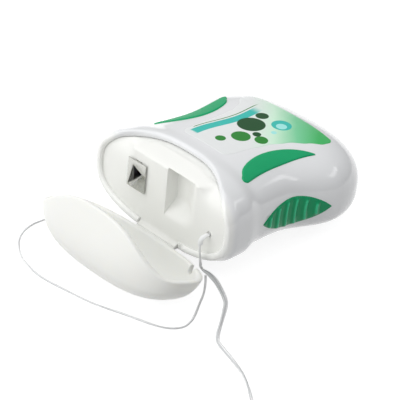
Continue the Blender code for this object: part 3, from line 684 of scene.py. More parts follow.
class Finishes:
    """Every finish of the dispenser, made once."""

    def __init__(self) -> None:
        """Makes the materials."""
        # The case gets painted light, a paler colour, at its rim by the mouth.
        self.case = MouldedPlastic(
            "glossy_white_case", (0.79, 0.80, 0.815), 0.16,
            scuffs=0.07, grain=1.4 * MM, coat=0.5, painted_rim_light=0.90,
        ).make()
        milk, grain_height = (0.87, 0.875, 0.845), 0.005 * MM
        self.deck = MouldedPlastic("milky_deck", milk, 0.36, grain_height=grain_height).make()
        self.lid = MouldedPlastic(
            "milky_lid_plastic", milk, 0.30, grain_height=grain_height, milkiness=0.3,
        ).make()
        self.cradle = MouldedPlastic("plain_cradle", (0.78, 0.78, 0.76), 0.45, scuffs=0.05).make()
        self.bobbin = MouldedPlastic("clouded_bobbin", (0.72, 0.76, 0.79), 0.40, scuffs=0.05).make()
        self.inlay = SoftRubber("emerald_inlay", (0.004, 0.36, 0.14), (0.008, 0.40, 0.16)).make()
        # The grip's second colour is the painted highlight on its ribs.
        self.grip = SoftRubber("ribbed_grip", (0.003, 0.28, 0.11), (0.05, 0.62, 0.31), 0.38).make()
        self.label = PrintedFilm().make()
        self.steel = BrushedSteel().make()
        # The floss is painted paler over its first 15 mm, with less painted shade in its grooves.
        self.floss = WaxedFibre("waxed_floss", painted_pale_length=15.0 * MM).make()
        self.strand = WaxedFibre(
            "thin_floss_strand", strands=4.0, plies=1.0, shade=(0.68, 0.69, 0.70),
        ).make()
        self.wound = WoundFibre().make()


class Workbench:
    """Blender's own modelling tools, each call starting from a clean selection."""

    @staticmethod
    def clear() -> None:
        """Leaves edit mode and deselects everything."""
        if bpy.context.object and bpy.context.object.mode != "OBJECT":
            bpy.ops.object.mode_set(mode="OBJECT")
        bpy.ops.object.select_all(action="DESELECT")

    @classmethod
    def take(cls, piece: bpy.types.Object) -> None:
        """Selects one object alone and makes it active."""
        cls.clear()
        piece.select_set(True)
        bpy.context.view_layer.objects.active = piece

    @classmethod
    def grid(cls, name: str, across: int, along: int, surface: Surface) -> bpy.types.Object:
        """Lays a grid over a surface.

        Args:
            name: Name of the piece.
            across: Faces in the first direction.
            along: Faces in the second direction.
            surface: Place of the share (first, second), each from 0 to 1.

        Returns:
            The new object, with the shares kept in its UV map "share".
        """
        cls.clear()
        bpy.ops.mesh.primitive_grid_add(x_subdivisions=across, y_subdivisions=along, size=1.0)
        piece = bpy.context.object
        piece.name = name
        piece.data.name = name
        mesh = piece.data
        mesh.uv_layers.active.name = "share"
        shares = [(vertex.co.x + 0.5, vertex.co.y + 0.5) for vertex in mesh.vertices]
        layer = mesh.uv_layers["share"].data
        for loop in mesh.loops:
            layer[loop.index].uv = shares[loop.vertex_index]
        for vertex, (first, second) in zip(mesh.vertices, shares):
            vertex.co = surface(first, second)
        return piece

    @staticmethod
    def own_map(piece: bpy.types.Object, name: str, value: Callable[[float, float], tuple]) -> None:
        """Adds a UV map worked out from the map "share".

        Args:
            piece: The object.
            name: Name of the new map.
            value: Gives the two numbers at the share (first, second).
        """
        mesh = piece.data
        made = mesh.uv_layers.new(name=name)
        shares = mesh.uv_layers["share"].data
        for index, item in enumerate(made.data):
            item.uv = value(*shares[index].uv)

    @classmethod
    @contextmanager
    def editing(cls, piece: bpy.types.Object) -> Iterator[None]:
        """Holds edit mode open with everything selected."""
        cls.take(piece)
        bpy.ops.object.mode_set(mode="EDIT")
        bpy.ops.mesh.select_all(action="SELECT")
        yield
        bpy.ops.object.mode_set(mode="OBJECT")

    @classmethod
    @contextmanager
    def picking(cls, piece: bpy.types.Object, select: Callable, mode: str = "VERT") -> Iterator[None]:
        """Holds edit mode open with the elements that a test picks.

        Args:
            piece: The object.
            select: Test on a vertex, edge or face of the mesh.
            mode: VERT, EDGE or FACE.

        Yields:
            Nothing; the tools inside the block run on what is selected.
        """
        cls.take(piece)
        bpy.ops.object.mode_set(mode="EDIT")
        bpy.ops.mesh.select_mode(type=mode)
        bpy.ops.mesh.select_all(action="DESELECT")
        bpy.ops.object.mode_set(mode="OBJECT")
        elements = {"VERT": "vertices", "EDGE": "edges", "FACE": "polygons"}[mode]
        for element in getattr(piece.data, elements):
            element.select = bool(select(element))
        bpy.ops.object.mode_set(mode="EDIT")
        yield
        bpy.ops.object.mode_set(mode="OBJECT")

    @classmethod
    def merge(cls, piece: bpy.types.Object, distance: float = SEAM_WELD) -> None:
        """Merges doubles."""
        with cls.editing(piece):
            bpy.ops.mesh.remove_doubles(threshold=distance)

    @classmethod
    def outward(cls, piece: bpy.types.Object) -> None:
        """Turns the faces of a closed or nearly closed shell outwards."""
        with cls.editing(piece):
            bpy.ops.mesh.normals_make_consistent(inside=False)

    @classmethod
    def face_towards(cls, piece: bpy.types.Object, direction: Vector) -> None:
        """Flips an open sheet that faces away from a direction.

        Args:
            piece: The sheet.
            direction: The way that its faces should look, on the whole.
        """
        total = Vector()
        for face in piece.data.polygons:
            total += face.normal * face.area
        if total.dot(direction) < 0:
            with cls.editing(piece):
                bpy.ops.mesh.flip_normals()

    @classmethod
    def modify(cls, piece: bpy.types.Object, kind: str, **settings: object) -> None:
        """Adds one modifier and applies it.

        Args:
            piece: The object.
            kind: Type of the modifier.
            **settings: Its properties.
        """
        cls.take(piece)
        modifier = piece.modifiers.new(kind.title(), kind)
        for key, setting in settings.items():
            setattr(modifier, key, setting)
        bpy.ops.object.modifier_apply(modifier=modifier.name)

    @classmethod
    def thicken(cls, piece: bpy.types.Object, wall: float) -> None:
        """Gives a sheet its wall, inwards from its face."""
        cls.modify(piece, "SOLIDIFY", thickness=wall, offset=-1.0, use_rim=True, use_even_offset=True)

    @classmethod
    def round_edges(cls, piece: bpy.types.Object, width: float, angle: float = 40.0) -> None:
        """Rounds the edges that are sharper than an angle.

        Args:
            piece: The object.
            width: Width of the rounding.
            angle: Least angle of an edge, in degrees.
        """
        cls.modify(
            piece, "BEVEL", width=width, segments=2, limit_method="ANGLE",
            angle_limit=math.radians(angle), use_clamp_overlap=True, harden_normals=False,
        )

    @classmethod
    def round_some(cls, piece: bpy.types.Object, pick: Callable[[Vector], bool], width: float) -> None:
        """Rounds the edges sharper than 40 degrees whose both ends a test picks.

        Args:
            piece: The object.
            pick: Test on a vertex's place.
            width: Width of the rounding.
        """
        normals = {}
        for face in piece.data.polygons:
            for key in face.edge_keys:
                normals.setdefault(key, []).append(face.normal.copy())
        limit = math.radians(40.0)
        sharp = {
            key for key, pair in normals.items()
            if len(pair) == 2 and pair[0].angle(pair[1], 0.0) > limit
        }
        picked = [pick(vertex.co) for vertex in piece.data.vertices]
        with cls.picking(
            piece, lambda edge: edge.key in sharp and all(picked[end] for end in edge.vertices), "EDGE",
        ):
            bpy.ops.mesh.bevel(offset=width, segments=3, affect="EDGES", clamp_overlap=True)

    @classmethod
    def close_ends(cls, piece: bpy.types.Object, tests: Sequence[Callable[[Vector], bool]]) -> None:
        """Closes the open ends of a tube-like skin, one for each test on a place, with a flat inset.

        Args:
            piece: The skin.
            tests: For each end, a test on a vertex's place.
        """
        for test in tests:
            with cls.picking(piece, lambda vertex: test(vertex.co)):
                bpy.ops.mesh.edge_face_add()
                bpy.ops.mesh.inset(thickness=0.8 * MM, depth=0.0)

    @staticmethod
    def inner_end(place: Vector, x: float, half: float) -> bool:
        """Tests a place for the small flat at an inner wall's end."""
        return abs(place.x - x) < SEAM_WELD and abs(place.y) < half and abs(place.z) < 5 * MM

    @classmethod
    def smooth(cls, piece: bpy.types.Object, angle: float) -> None:
        """Shades a piece smooth, but for edges sharper than an angle."""
        cls.take(piece)
        bpy.ops.object.shade_smooth_by_angle(angle=math.radians(angle))

    @classmethod
    def cut(cls, piece: bpy.types.Object, cutter: bpy.types.Object, operation: str = "DIFFERENCE") -> None:
        """Cuts one solid from another, or keeps what they share, and removes the cutter.

        Args:
            piece: The solid that stays.
            cutter: The solid that goes.
            operation: DIFFERENCE to cut, INTERSECT to keep what both share.
        """
        cls.modify(piece, "BOOLEAN", operation=operation, object=cutter, solver="EXACT")
        bpy.data.objects.remove(cutter)

    @classmethod
    def box(cls, name: str, centre: Point, size: Point) -> bpy.types.Object:
        """Adds a box by its centre and its size, with its place in its mesh.

        Args:
            name: Name of the box.
            centre: Its middle.
            size: Its three sides.

        Returns:
            The new object.
        """
        cls.clear()
        bpy.ops.mesh.primitive_cube_add(size=1.0, location=centre, scale=size)
        bpy.ops.object.transform_apply(location=True, rotation=True, scale=True)
        piece = bpy.context.object
        piece.name = name
        piece.data.name = name
        return piece

    @classmethod
    def prism(cls, name: str, outline: Sequence[Point], way: Point) -> bpy.types.Object:
        """Fills a flat outline and extrudes it into a closed solid.

        Args:
            name: Name of the solid.
            outline: Corners of the outline, in order.
            way: Direction and length of the extrusion.

        Returns:
            The new object.
        """
        cls.clear()
        bpy.ops.mesh.primitive_circle_add(vertices=len(outline), fill_type="NGON")
        piece = bpy.context.object
        piece.name = name
        for vertex, place in zip(piece.data.vertices, outline):
            vertex.co = place
        cls.push(piece, way)
        return piece

    @classmethod
    def push(cls, piece: bpy.types.Object, way: Point) -> None:
        """Extrudes a whole sheet into a closed solid."""
        with cls.picking(piece, lambda face: True, "FACE"):
            bpy.ops.mesh.extrude_region_move(TRANSFORM_OT_translate={"value": way})
        cls.outward(piece)

    @classmethod
    def add_to(cls, piece: bpy.types.Object, other: bpy.types.Object) -> None:
        """Puts another mesh into a piece's own."""
        cls.take(piece)
        other.select_set(True)
        bpy.ops.object.join()

    @classmethod
    def copy_node(cls, node: str, name: str) -> bpy.types.Object:
        """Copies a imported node, merges its doubles and clears the seams of its flat faces.

        Args:
            node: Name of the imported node.
            name: Name of the new piece.

        Returns:
            The copy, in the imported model's place.
        """
        source = bpy.data.objects[node]
        piece = bpy.data.objects.new(name, source.data.copy())
        piece.data.transform(source.matrix_world)
        piece.data.name = name
        bpy.context.scene.collection.objects.link(piece)
        cls.merge(piece, NODE_WELD)
        with cls.editing(piece):
            bpy.ops.mesh.dissolve_limited(angle_limit=math.radians(0.6))
        return piece

    @classmethod
    def finish(
        cls, piece: bpy.types.Object, finish: bpy.types.Material, slot: str, replaces: Sequence[str],
        body: Body = Body.CASE, place: Matrix | None = None,
    ) -> None:
        """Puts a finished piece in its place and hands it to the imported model.

        Args:
            piece: The object, in its own frame.
            finish: Its material.
            slot: The record's material slot.
            replaces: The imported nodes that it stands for.
            body: The body that it moves with.
            place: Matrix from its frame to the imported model's, or None for the case's.
        """
        cls.clear()
        piece.data.transform(CASE_PLACE if place is None else place)
        piece.data.materials.clear()
        piece.data.materials.append(finish)
        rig.ride(piece, body.value)
        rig.slot(piece, slot)
        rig.replaces(piece, *replaces)
        log.info("piece %s rides on %s", piece.name, body.value)


@dataclass(frozen=True)
class CaseForm:
    """Outer form of case and lid, in the case's own frame."""

    length: float = 54.0 * MM
    mouth_width: float = 50.0 * MM
    waist_width: float = 45.2 * MM
    waist_place: float = 23.4 * MM
    bulge_width: float = 53.6 * MM
    bulge_place: float = 38.6 * MM
    mouth_thickness: float = 23.0 * MM
    base_thickness: float = 24.4 * MM
    section_power: float = 2.6
    base_rounding: float = 17.6 * MM
    base_power: float = 2.4
    base_end: float = math.radians(76)
    lid_depth: float = 10.4 * MM
    lid_power: float = 2.5
    lid_end: float = math.radians(78)
    parting_dip: float = 8.3 * MM
    parting_reach: float = 23.4 * MM
    parting_shape: float = 2.7
    parting_power: float = 1.6
    collar_widening: float = 0.6 * MM
    collar_thickening: float = 0.25 * MM
    collar_power: float = 2.95
    collar_start: float = 0.0
    collar_rise: float = 3.5 * MM
    collar_end: float = 7.5 * MM
    collar_fade: float = 5.0 * MM

    @staticmethod
    def ease(share: float) -> float:
        """Eases from 0 to 1 with level ends."""
        share = min(max(share, 0.0), 1.0)
        return share * share * (3 - 2 * share)

    def collar(self, x: float) -> float:
        """How much of the collar behind the mouth shows at a place."""
        rise = self.ease((x - self.collar_start) / (self.collar_rise - self.collar_start))
        return rise * (1 - self.ease((x - self.collar_end) / self.collar_fade))

    def power(self, x: float) -> float:
        """Power of the section's superellipse at a place."""
        return lerp(self.section_power, self.collar_power, self.collar(x))

    def end_share(self, x: float, inset: float = 0.0) -> float:
        """Share of the full section that an end rounding leaves at a place.

        Args:
            x: The place.
            inset: How far inside the skin.

        Returns:
            The share, 1 off the two ends' roundings.
        """
        start = self.length - self.base_rounding
        if x > start:
            run, power, last = (x - start) / (self.base_rounding - inset), self.base_power, self.base_end
        elif x < 0:
            run, power, last = -x / (self.lid_depth - inset), self.lid_power, self.lid_end
        else:
            return 1.0
        full = math.sin(last) ** (2 / power)
        angle = math.asin(min(1.0, (min(run, 1.0) * full) ** (power / 2)))
        return math.cos(angle) ** (2 / power)

    def halves(self, x: float, inset: float = 0.0) -> tuple[float, float]:
        """Half width and half thickness at a place, moved in by an inset.

        Args:
            x: The place.
            inset: How far inside the skin.

        Returns:
            The two halves.
        """
        mouth, waist, bulge = self.mouth_width / 2, self.waist_width / 2, self.bulge_width / 2
        if x < self.waist_place:
            wide = mouth + (waist - mouth) * self.ease(x / self.waist_place)
        else:
            reach = self.bulge_place - self.waist_place
            wide = waist + (bulge - waist) * self.ease((x - self.waist_place) / reach)
        thick = self.mouth_thickness / 2
        thick += (self.base_thickness / 2 - thick) * self.ease(x / self.bulge_place)
        wide += self.collar_widening * self.collar(x)
        thick += self.collar_thickening * self.collar(x)
        share = self.end_share(x, inset)
        return (wide - inset) * share, (thick - inset) * share

    def ring(self, x: float, turn: float, inset: float = 0.0) -> Point:
        """Point of the form at a place and a share of the turn round it, moved in by an inset.

        Args:
            x: The place.
            turn: Share of the turn, from the far side over the label face.
            inset: How far inside the skin.

        Returns:
            The point.
        """
        wide, thick = self.halves(x, inset)
        angle = 2 * math.pi * turn
        cosine, sine = math.cos(angle), math.sin(angle)
        across = math.copysign(abs(cosine) ** (2 / self.power(x)), cosine)
        upward = math.copysign(abs(sine) ** (2 / self.power(x)), sine)
        return (x, wide * across, thick * upward)

    def rim(self, turn: float, shift: float = 0.0, inset: float = 0.0) -> float:
        """Where the skin meets the shifted parting at a share of the turn round it.

        Args:
            turn: Share of the turn.
            shift: How far the parting is shifted along X.
            inset: How far inside the skin.

        Returns:
            The place along X.
        """
        x = shift
        for _ in range(6):
            _, side, up = self.ring(x, turn, inset)
            x = self.parting(side) + shift if up > 0 else shift
        return x

    def to_base(self, start: float, share: float, inset: float = 0.0) -> float:
        """Place at a share of the way from a start to the base's end, crowded in its rounding.

        Args:
            start: Where the way starts.
            share: Share of the way.
            inset: How far inside the skin.

        Returns:
            The place along X.
        """
        straight, bend = 0.55, self.length - self.base_rounding
        if share < straight:
            return lerp(start, bend, share / straight)
        angle = self.base_end * (share - straight) / (1 - straight)
        full = math.sin(self.base_end) ** (2 / self.base_power)
        return bend + (self.base_rounding - inset) * math.sin(angle) ** (2 / self.base_power) / full

    def to_lid_end(self, start: float, share: float, inset: float = 0.0) -> float:
        """Place at a share of the way from a start to the lid's end, crowded in its rounding.

        Args:
            start: Where the way starts.
            share: Share of the way.
            inset: How far inside the skin.

        Returns:
            The place along X.
        """
        depth, exponent = self.lid_depth - inset, 2 / self.lid_power
        full = math.sin(self.lid_end) ** exponent
        straight = max(start, 0.0) / (max(start, 0.0) + depth)
        if share < straight:
            return lerp(start, 0.0, share / straight)
        first = math.asin((max(-start, 0.0) / depth * full) ** (1 / exponent))
        angle = lerp(first, self.lid_end, (share - straight) / (1 - straight))
        return -depth * math.sin(angle) ** exponent / full

    def skin(
        self, wall: float, rows: tuple[int, int, int], lip: float, shift: float, forward: bool,
    ) -> Surface:
        """Closed wall of case or lid as one sheet: inner end, inner wall, soft rim, outer wall, outer end.

        Args:
            wall: Thickness of the wall.
            rows: Rows of faces on the inner wall, round the rim and on the outer wall.
            lip: How deep the rim is rounded.
            shift: Distance of the rim from the parting.
            forward: True for the lid, whose wall runs away from the case.

        Returns:
            The surface over (turn share, share of the profile).
        """
        inner, bend, outer = rows
        way = self.to_lid_end if forward else self.to_base
        sign = -1 if forward else 1

        def surface(first: float, second: float) -> Point:
            """Place of a share of the sheet."""
            row = round(second * sum(rows))
            if inner <= row <= inner + bend:
                angle = math.pi * (row - inner) / bend
                inset = wall * (1 + math.cos(angle)) / 2
                back = lip * (1 - math.sin(angle))
                return self.ring(self.rim(first, shift, inset) + sign * back, first, inset)
            inset, share = (wall, 1 - row / inner) if row < inner else (0.0, (row - inner - bend) / outer)
            start = self.rim(first, shift, inset) + sign * lip
            return self.ring(way(start, share, inset), first, inset)

        return surface

    def height(self, x: float, y: float) -> float:
        """Height of the label face over the middle.

        Args:
            x: Place from mouth to base.
            y: Place across.

        Returns:
            The height.
        """
        wide, thick = self.halves(x)
        share = min(abs(y / wide), 0.9999) ** self.power(x)
        return thick * (1 - share) ** (1 / self.power(x))

    def reach(self, x: float, z: float) -> float:
        """How far the narrow side lies from the middle.

        Args:
            x: Place from mouth to base.
            z: Place up.

        Returns:
            The distance.
        """
        wide, thick = self.halves(x)
        share = min(abs(z / thick), 0.9999) ** self.power(x)
        return wide * (1 - share) ** (1 / self.power(x))

    def parting(self, side: float) -> float:
        """Where the parting between case and lid lies on the label face, off its middle line."""
        share = min(abs(side) / self.parting_reach, 1.0)
        return self.parting_dip * (1 - share ** self.parting_shape) ** self.parting_power

    def on_face(self, face: Face, along: float, side: float, rise: float) -> Point:
        """Point over a face of the case, lifted square to it.

        Args:
            face: The face.
            along: Place from mouth to base.
            side: Place across the face: Y on the label face, Z on a narrow side.
            rise: Height over the face.

        Returns:
            The point.
        """
        small = 0.05 * MM
        reach = self.height if face is Face.LABEL else self.reach
        here = reach(along, side)
        slope_along = (reach(along + small, side) - reach(along - small, side)) / (2 * small)
        slope_side = (reach(along, side + small) - reach(along, side - small)) / (2 * small)
        normal = Vector((-slope_along, -slope_side, 1.0)).normalized() * rise
        place = (along + normal.x, side + normal.y, here + normal.z)
        if face is Face.LABEL:
            return place
        return (place[0], place[2] if face is Face.FAR_SIDE else -place[2], place[1])


TILT = math.radians(7.3243)
CASE_PLACE = Matrix.Translation((-14.981328 * MM, 0.0, 17.132688 * MM)) @ Matrix.Rotation(TILT, 4, "Y")
HINGE = Vector((-0.8 * MM, 0.0, -11.25 * MM))
LID_OPENING = math.radians(74)
LID_PLACE = (
    CASE_PLACE @ Matrix.Translation(HINGE)
    @ Matrix.Rotation(-LID_OPENING, 4, "Y") @ Matrix.Translation(-HINGE)
)
FORM = CaseForm()


def lerp(first: float, last: float, share: float) -> float:
    """Value between two others."""
    return first + (last - first) * share


def arc_points(first: tuple, middle: tuple, last: tuple, count: int) -> list[tuple[float, float]]:
    """Points of the circle arc through three points.

    Args:
        first: Start of the arc.
        middle: A point on it.
        last: Its end.
        count: Number of steps.

    Returns:
        Count + 1 points, both ends included.
    """
    (ax, ay), (bx, by), (cx, cy) = first, middle, last
    spread = 2 * (ax * (by - cy) + bx * (cy - ay) + cx * (ay - by))
    squares = [ax * ax + ay * ay, bx * bx + by * by, cx * cx + cy * cy]
    x = (squares[0] * (by - cy) + squares[1] * (cy - ay) + squares[2] * (ay - by)) / spread
    y = (squares[0] * (cx - bx) + squares[1] * (ax - cx) + squares[2] * (bx - ax)) / spread
    radius = math.hypot(ax - x, ay - y)
    start = math.atan2(ay - y, ax - x)
    through = (math.atan2(by - y, bx - x) - start) % (2 * math.pi)
    stop = (math.atan2(cy - y, cx - x) - start) % (2 * math.pi)
    if through > stop:
        stop -= 2 * math.pi
    angles = [start + stop * index / count for index in range(count + 1)]
    return [(x + radius * math.cos(angle), y + radius * math.sin(angle)) for angle in angles]


def read_at(points: Sequence[tuple[float, float]], share: float) -> tuple[float, float]:
    """Reads a point at a share of a list of evenly spread points.

    Args:
        points: The points.
        share: Share of the list, from 0 to 1.

    Returns:
        The point between its two neighbours.
    """
    run = min(max(share, 0.0), 1.0) * (len(points) - 1)
    index = min(int(run), len(points) - 2)
    first, last = points[index], points[index + 1]
    return lerp(first[0], last[0], run - index), lerp(first[1], last[1], run - index)


@dataclass
class Inlay:
    """A thin piece let into the case's skin, crowned and rounded at its edge."""

    name: str
    face: Face
    lower: list[tuple[float, float]]
    upper: list[tuple[float, float]]
    rise: float = 0.30 * MM
    sink: float = 0.22 * MM
    edge: float = 0.55 * MM
    thickness: float = 0.45 * MM
    across: int = 18
    along: int = 72
    bumps: Callable[[float, float], float] = field(default=lambda along, side: 0.0)

    def lift(self, first: float, second: float) -> float:
        """Height over the case at a share of the inlay, from under its skin at the edge.

        Args:
            first: Share along the inlay.
            second: Share across it.

        Returns:
            The height, below 0 under the skin.
        """
        low, high = read_at(self.lower, first), read_at(self.upper, first)
        wide = max(math.dist(low, high), 1e-6)
        long = math.dist(self.lower[-1], self.lower[0])
        near = min(min(second, 1 - second) * wide, min(first, 1 - first) * long)
        share = min(near / self.edge, 1.0)
        return lerp(-self.sink, self.rise, math.sqrt(1 - (1 - share) ** 2))

    def middle(self, first: float, second: float) -> tuple[float, float]:
        """Flat place of a share of the inlay."""
        low, high = read_at(self.lower, first), read_at(self.upper, first)
        return lerp(low[0], high[0], second), lerp(low[1], high[1], second)

    def spread(self, share: float, count: int, size: float) -> float:
        """Crowds the rows of a grid towards the edge, where the rounding is.

        Args:
            share: Even share across the grid.
            count: Rows of faces.
            size: Width of the inlay.

        Returns:
            The crowded share.
        """
        crowd = min(0.45, 2.2 * self.edge / max(size, 1e-6))
        bands = 4
        step = share * count
        if step <= bands:
            return crowd * step / bands
        if step >= count - bands:
            return 1 - crowd * (count - step) / bands
        return lerp(crowd, 1 - crowd, (step - bands) / (count - 2 * bands))

    def build(self) -> bpy.types.Object:
        """Models the inlay as a grid bent over the case.

        Returns:
            The open sheet with its map "height", before close().
        """
        wide = max(math.dist(low, high) for low, high in zip(self.lower, self.upper))

        def surface(first: float, second: float) -> Point:
            """Place of a share of the grid."""
            second = self.spread(second, self.across, wide)
            along, side = self.middle(first, second)
            lift = self.lift(first, second)
            lift += self.bumps(along, side) * max(0.0, min(1.0, lift / self.rise))
            return FORM.on_face(self.face, along, side, lift)

        piece = Workbench.grid(self.name, self.along, self.across, surface)
        Workbench.own_map(piece, "height", self.height_map(wide))
        Workbench.face_towards(piece, Vector(self.face.value))
        return piece

    def height_map(self, wide: float) -> Callable[[float, float], tuple]:
        """Gives the map that tells the material how far a point is raised.

        Args:
            wide: Greatest width of the inlay.

        Returns:
            A function that gives the map's two numbers at a share of the grid.
        """
        def value(first: float, second: float) -> tuple[float, float]:
            """Raised share at a share of the grid."""
            second = self.spread(second, self.across, wide)
            along, side = self.middle(first, second)
            lift = max(0.0, self.lift(first, second) / self.rise)
            return lift * 0.5 + min(1.0, self.bumps(along, side) / (0.5 * MM)) * 0.5, second
        return value

    def close(self, piece: bpy.types.Object) -> None:
        """Gives the sheet its thickness and smooth shading."""
        Workbench.merge(piece, FINE_WELD)
        Workbench.thicken(piece, self.thickness)
        Workbench.smooth(piece, 50.0)


@dataclass
class CaseAssembly:
    """Case shell with its crescents, side grips and label."""

    finishes: Finishes
    wall: float = 1.88 * MM
    rows: tuple[int, int, int] = (40, 12, 90)
    sides: int = 144
    lip: float = 0.8 * MM
    notch: Point = (5.4 * MM, 14.7 * MM, 5.4 * MM)
    slot: Point = (1.6 * MM, 2.6 * MM, 5.4 * MM)
    slot_side: float = -8.1 * MM
    crescent_place: float = 24.1 * MM
    grip_place: float = 24.1 * MM
    grip_up: float = -0.8 * MM
    grip_length: float = 21.6 * MM
    grip_height: float = 8.4 * MM
    rib_count: int = 6
    rib_pitch: float = 3.0 * MM
    rib_width: float = 2.1 * MM
    rib_rise: float = 0.5 * MM
    rib_bow: float = 0.9 * MM
    label_front: float = 13.0 * MM
    label_length: float = 31.2 * MM
    label_half_width: float = 16.3 * MM

    def shell(self) -> None:
        """White shell: one skin from the mouth to the flat of the base, with a rounded lip."""
        surface = FORM.skin(self.wall, self.rows, self.lip, 0.0, forward=False)
        piece = Workbench.grid("shell_skin", self.sides, sum(self.rows), surface)
        Workbench.merge(piece)
        Workbench.close_ends(piece, (
            lambda place: place.x > FORM.length - SEAM_WELD,
            lambda place: Workbench.inner_end(place, FORM.length - self.wall, 9 * MM),
        ))
        Workbench.outward(piece)
        low = -FORM.mouth_thickness / 2
        for name, side, size in (("hinge_notch", 0.0, self.notch), ("near_slot", self.slot_side, self.slot)):
            Workbench.cut(piece, Workbench.box(name, (0.0, side, low), size))
        Workbench.round_some(
            piece, lambda place: place.x < 3 * MM and abs(place.y) < 10 * MM and place.z < -8 * MM,
            0.16 * MM,
        )
        Workbench.smooth(piece, 38.0)
        Workbench.finish(piece, self.finishes.case, "white_case", ["case_shell"])

    @staticmethod
    def out_at(edge: Sequence[tuple[float, float]], along: float) -> float:
        """Reads an edge, listed from one end to the other, at a place along it.

        Args:
            edge: Points of the edge.
            along: The place.

        Returns:
            The edge's other number there.
        """
        for first, last in zip(edge, edge[1:]):
            if along <= last[0]:
                return lerp(first[1], last[1], (along - first[0]) / (last[0] - first[0]))
        return edge[-1][1]

    def crescent(self, side: int, name: str) -> None:
        """One green crescent of the label face.

        Args:
            side: 1 for the far side of the face, -1 for the near one, a half turn apart.
            name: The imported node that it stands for.
        """
        head, tip, shift = -12.1 * MM, 11.3 * MM, -2.6 * MM
        inner = arc_points((head, 15.2 * MM), (shift, 11.6 * MM), (tip, 18.3 * MM), 240)
        outer = arc_points((head, 18.4 * MM), (shift, 17.0 * MM), (tip, 18.5 * MM), 240)
        bulge, roundness, skew, steps = 1.2 * MM, 3.2 * MM, 0.45, 72
        lower, upper = [], []
        for index in range(steps + 1):
            along = lerp(head - bulge, tip, (index / steps) ** 1.5)
            low, high = (self.out_at(edge, max(along, head)) for edge in (inner, outer))
            run = min(1.0, (along - head + bulge) / roundness)
            half = (high - low) / 2 * math.sqrt(max(0.0, 1 - (1 - run) ** 2))
            middle = (low + high) / 2 + skew * (high - low) / 2 * (1 - run) ** 2
            for edge, out in ((lower, middle - half), (upper, middle + half)):
                edge.append((self.crescent_place - side * along, side * out))
        inlay = Inlay(name + "_rubber", Face.LABEL, lower, upper)
        piece = inlay.build()
        inlay.close(piece)
        Workbench.finish(piece, self.finishes.inlay, "green_inlay", [name])

    def rib(self, along: float, side: float) -> float:
        """Height of the curved ribs of a grip over its ground.

        Args:
            along: Place from mouth to base.
            side: Place across the grip.

        Returns:
            The height, 0 between ribs.
        """
        up = (side - self.grip_up) / (self.grip_height / 2)
        place = along - self.grip_place + self.rib_bow * (1 - up ** 2)
        index = round(place / self.rib_pitch + (self.rib_count - 1) / 2)
        index = min(max(index, 0), self.rib_count - 1)
        middle = (index - (self.rib_count - 1) / 2) * self.rib_pitch
        offset = abs(place - middle) / (self.rib_width / 2)
        limit = 1 - (2 * middle / self.grip_length) ** 2
        end = FORM.ease((limit - abs(up)) * self.grip_height / 2 / (1.1 * MM))
        if offset >= 1:
            return 0.0
        return self.rib_rise * (0.5 + 0.5 * math.cos(math.pi * offset)) * end

    def grip(self, face: Face, name: str) -> None:
        """One ribbed finger grip in a narrow side.

        Args:
            face: The narrow side.
            name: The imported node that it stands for.
        """
        middle, half = self.grip_place, self.grip_length / 2
        left, right = ((middle + sign * half, self.grip_up) for sign in (-1, 1))
        lower, upper = (
            arc_points(left, (middle, self.grip_up + sign * self.grip_height / 2), right, 60)
            for sign in (-1, 1)
        )
        inlay = Inlay(name + "_rubber", face, lower, upper, across=36, along=216, bumps=self.rib)
        piece = inlay.build()
        inlay.close(piece)
        Workbench.finish(piece, self.finishes.grip, "green_grip", [name])

    def label(self) -> None:
        """Printed film between the crescents."""
        near_shares = (
            (0.0, 0.50), (0.18, 0.53), (0.42, 0.60), (0.60, 0.72), (0.74, 0.88), (0.86, 1.0), (1.0, 1.0),
        )
        far_shares = (
            (0.0, 0.50), (0.18, 0.53), (0.42, 0.54), (0.60, 0.57), (0.72, 0.66), (0.84, 0.86), (1.0, 0.90),
        )
        steps, corner = 90, 2.4 * MM

        def edge(shares: Sequence[tuple[float, float]], sign: int) -> list[tuple[float, float]]:
            """Smooth edge through shares, with rounded corners at both ends.

            Args:
                shares: Places along and shares of the half width there.
                sign: 1 for the far edge, -1 for the near one.

            Returns:
                The edge's points.
            """
            points = []
            for index in range(steps + 1):
                along = index / steps
                for (start, low), (stop, high) in zip(shares, shares[1:]):
                    if start <= along <= stop:
                        share = (along - start) / (stop - start)
                        wide = lerp(low, high, FORM.ease(share) * 0.5 + share * 0.5)
                        break
                x = along * self.label_length
                end = min(x, self.label_length - x)
                out = wide * self.label_half_width
                if end < corner:
                    out -= corner - math.sqrt(max(corner ** 2 - (corner - end) ** 2, 0.0))
                points.append((self.label_front + x, sign * out))
            return points

        inlay = Inlay(
            "label_film_sheet", Face.LABEL, edge(near_shares, -1), edge(far_shares, 1), 0.05 * MM,
            sink=0.12 * MM, edge=0.30 * MM, thickness=0.20 * MM, across=40, along=90,
        )
        piece = inlay.build()

        def print_place(first: float, second: float) -> tuple[float, float]:
            """Place on the print, in label lengths."""
            second = inlay.spread(second, inlay.across, 2 * self.label_half_width)
            along, side = inlay.middle(first, second)
            return (along - self.label_front) / self.label_length, side / self.label_length

        Workbench.own_map(piece, "print", print_place)
        inlay.close(piece)
        Workbench.finish(piece, self.finishes.label, "label_film", ["front_label"])

    def build(self) -> None:
        """Builds every piece of the case."""
        self.shell()
        self.crescent(1, "crescent_left")
        self.crescent(-1, "crescent_right")
        self.grip(Face.FAR_SIDE, "grip_far")
        self.grip(Face.NEAR_SIDE, "grip_near")
        self.label()


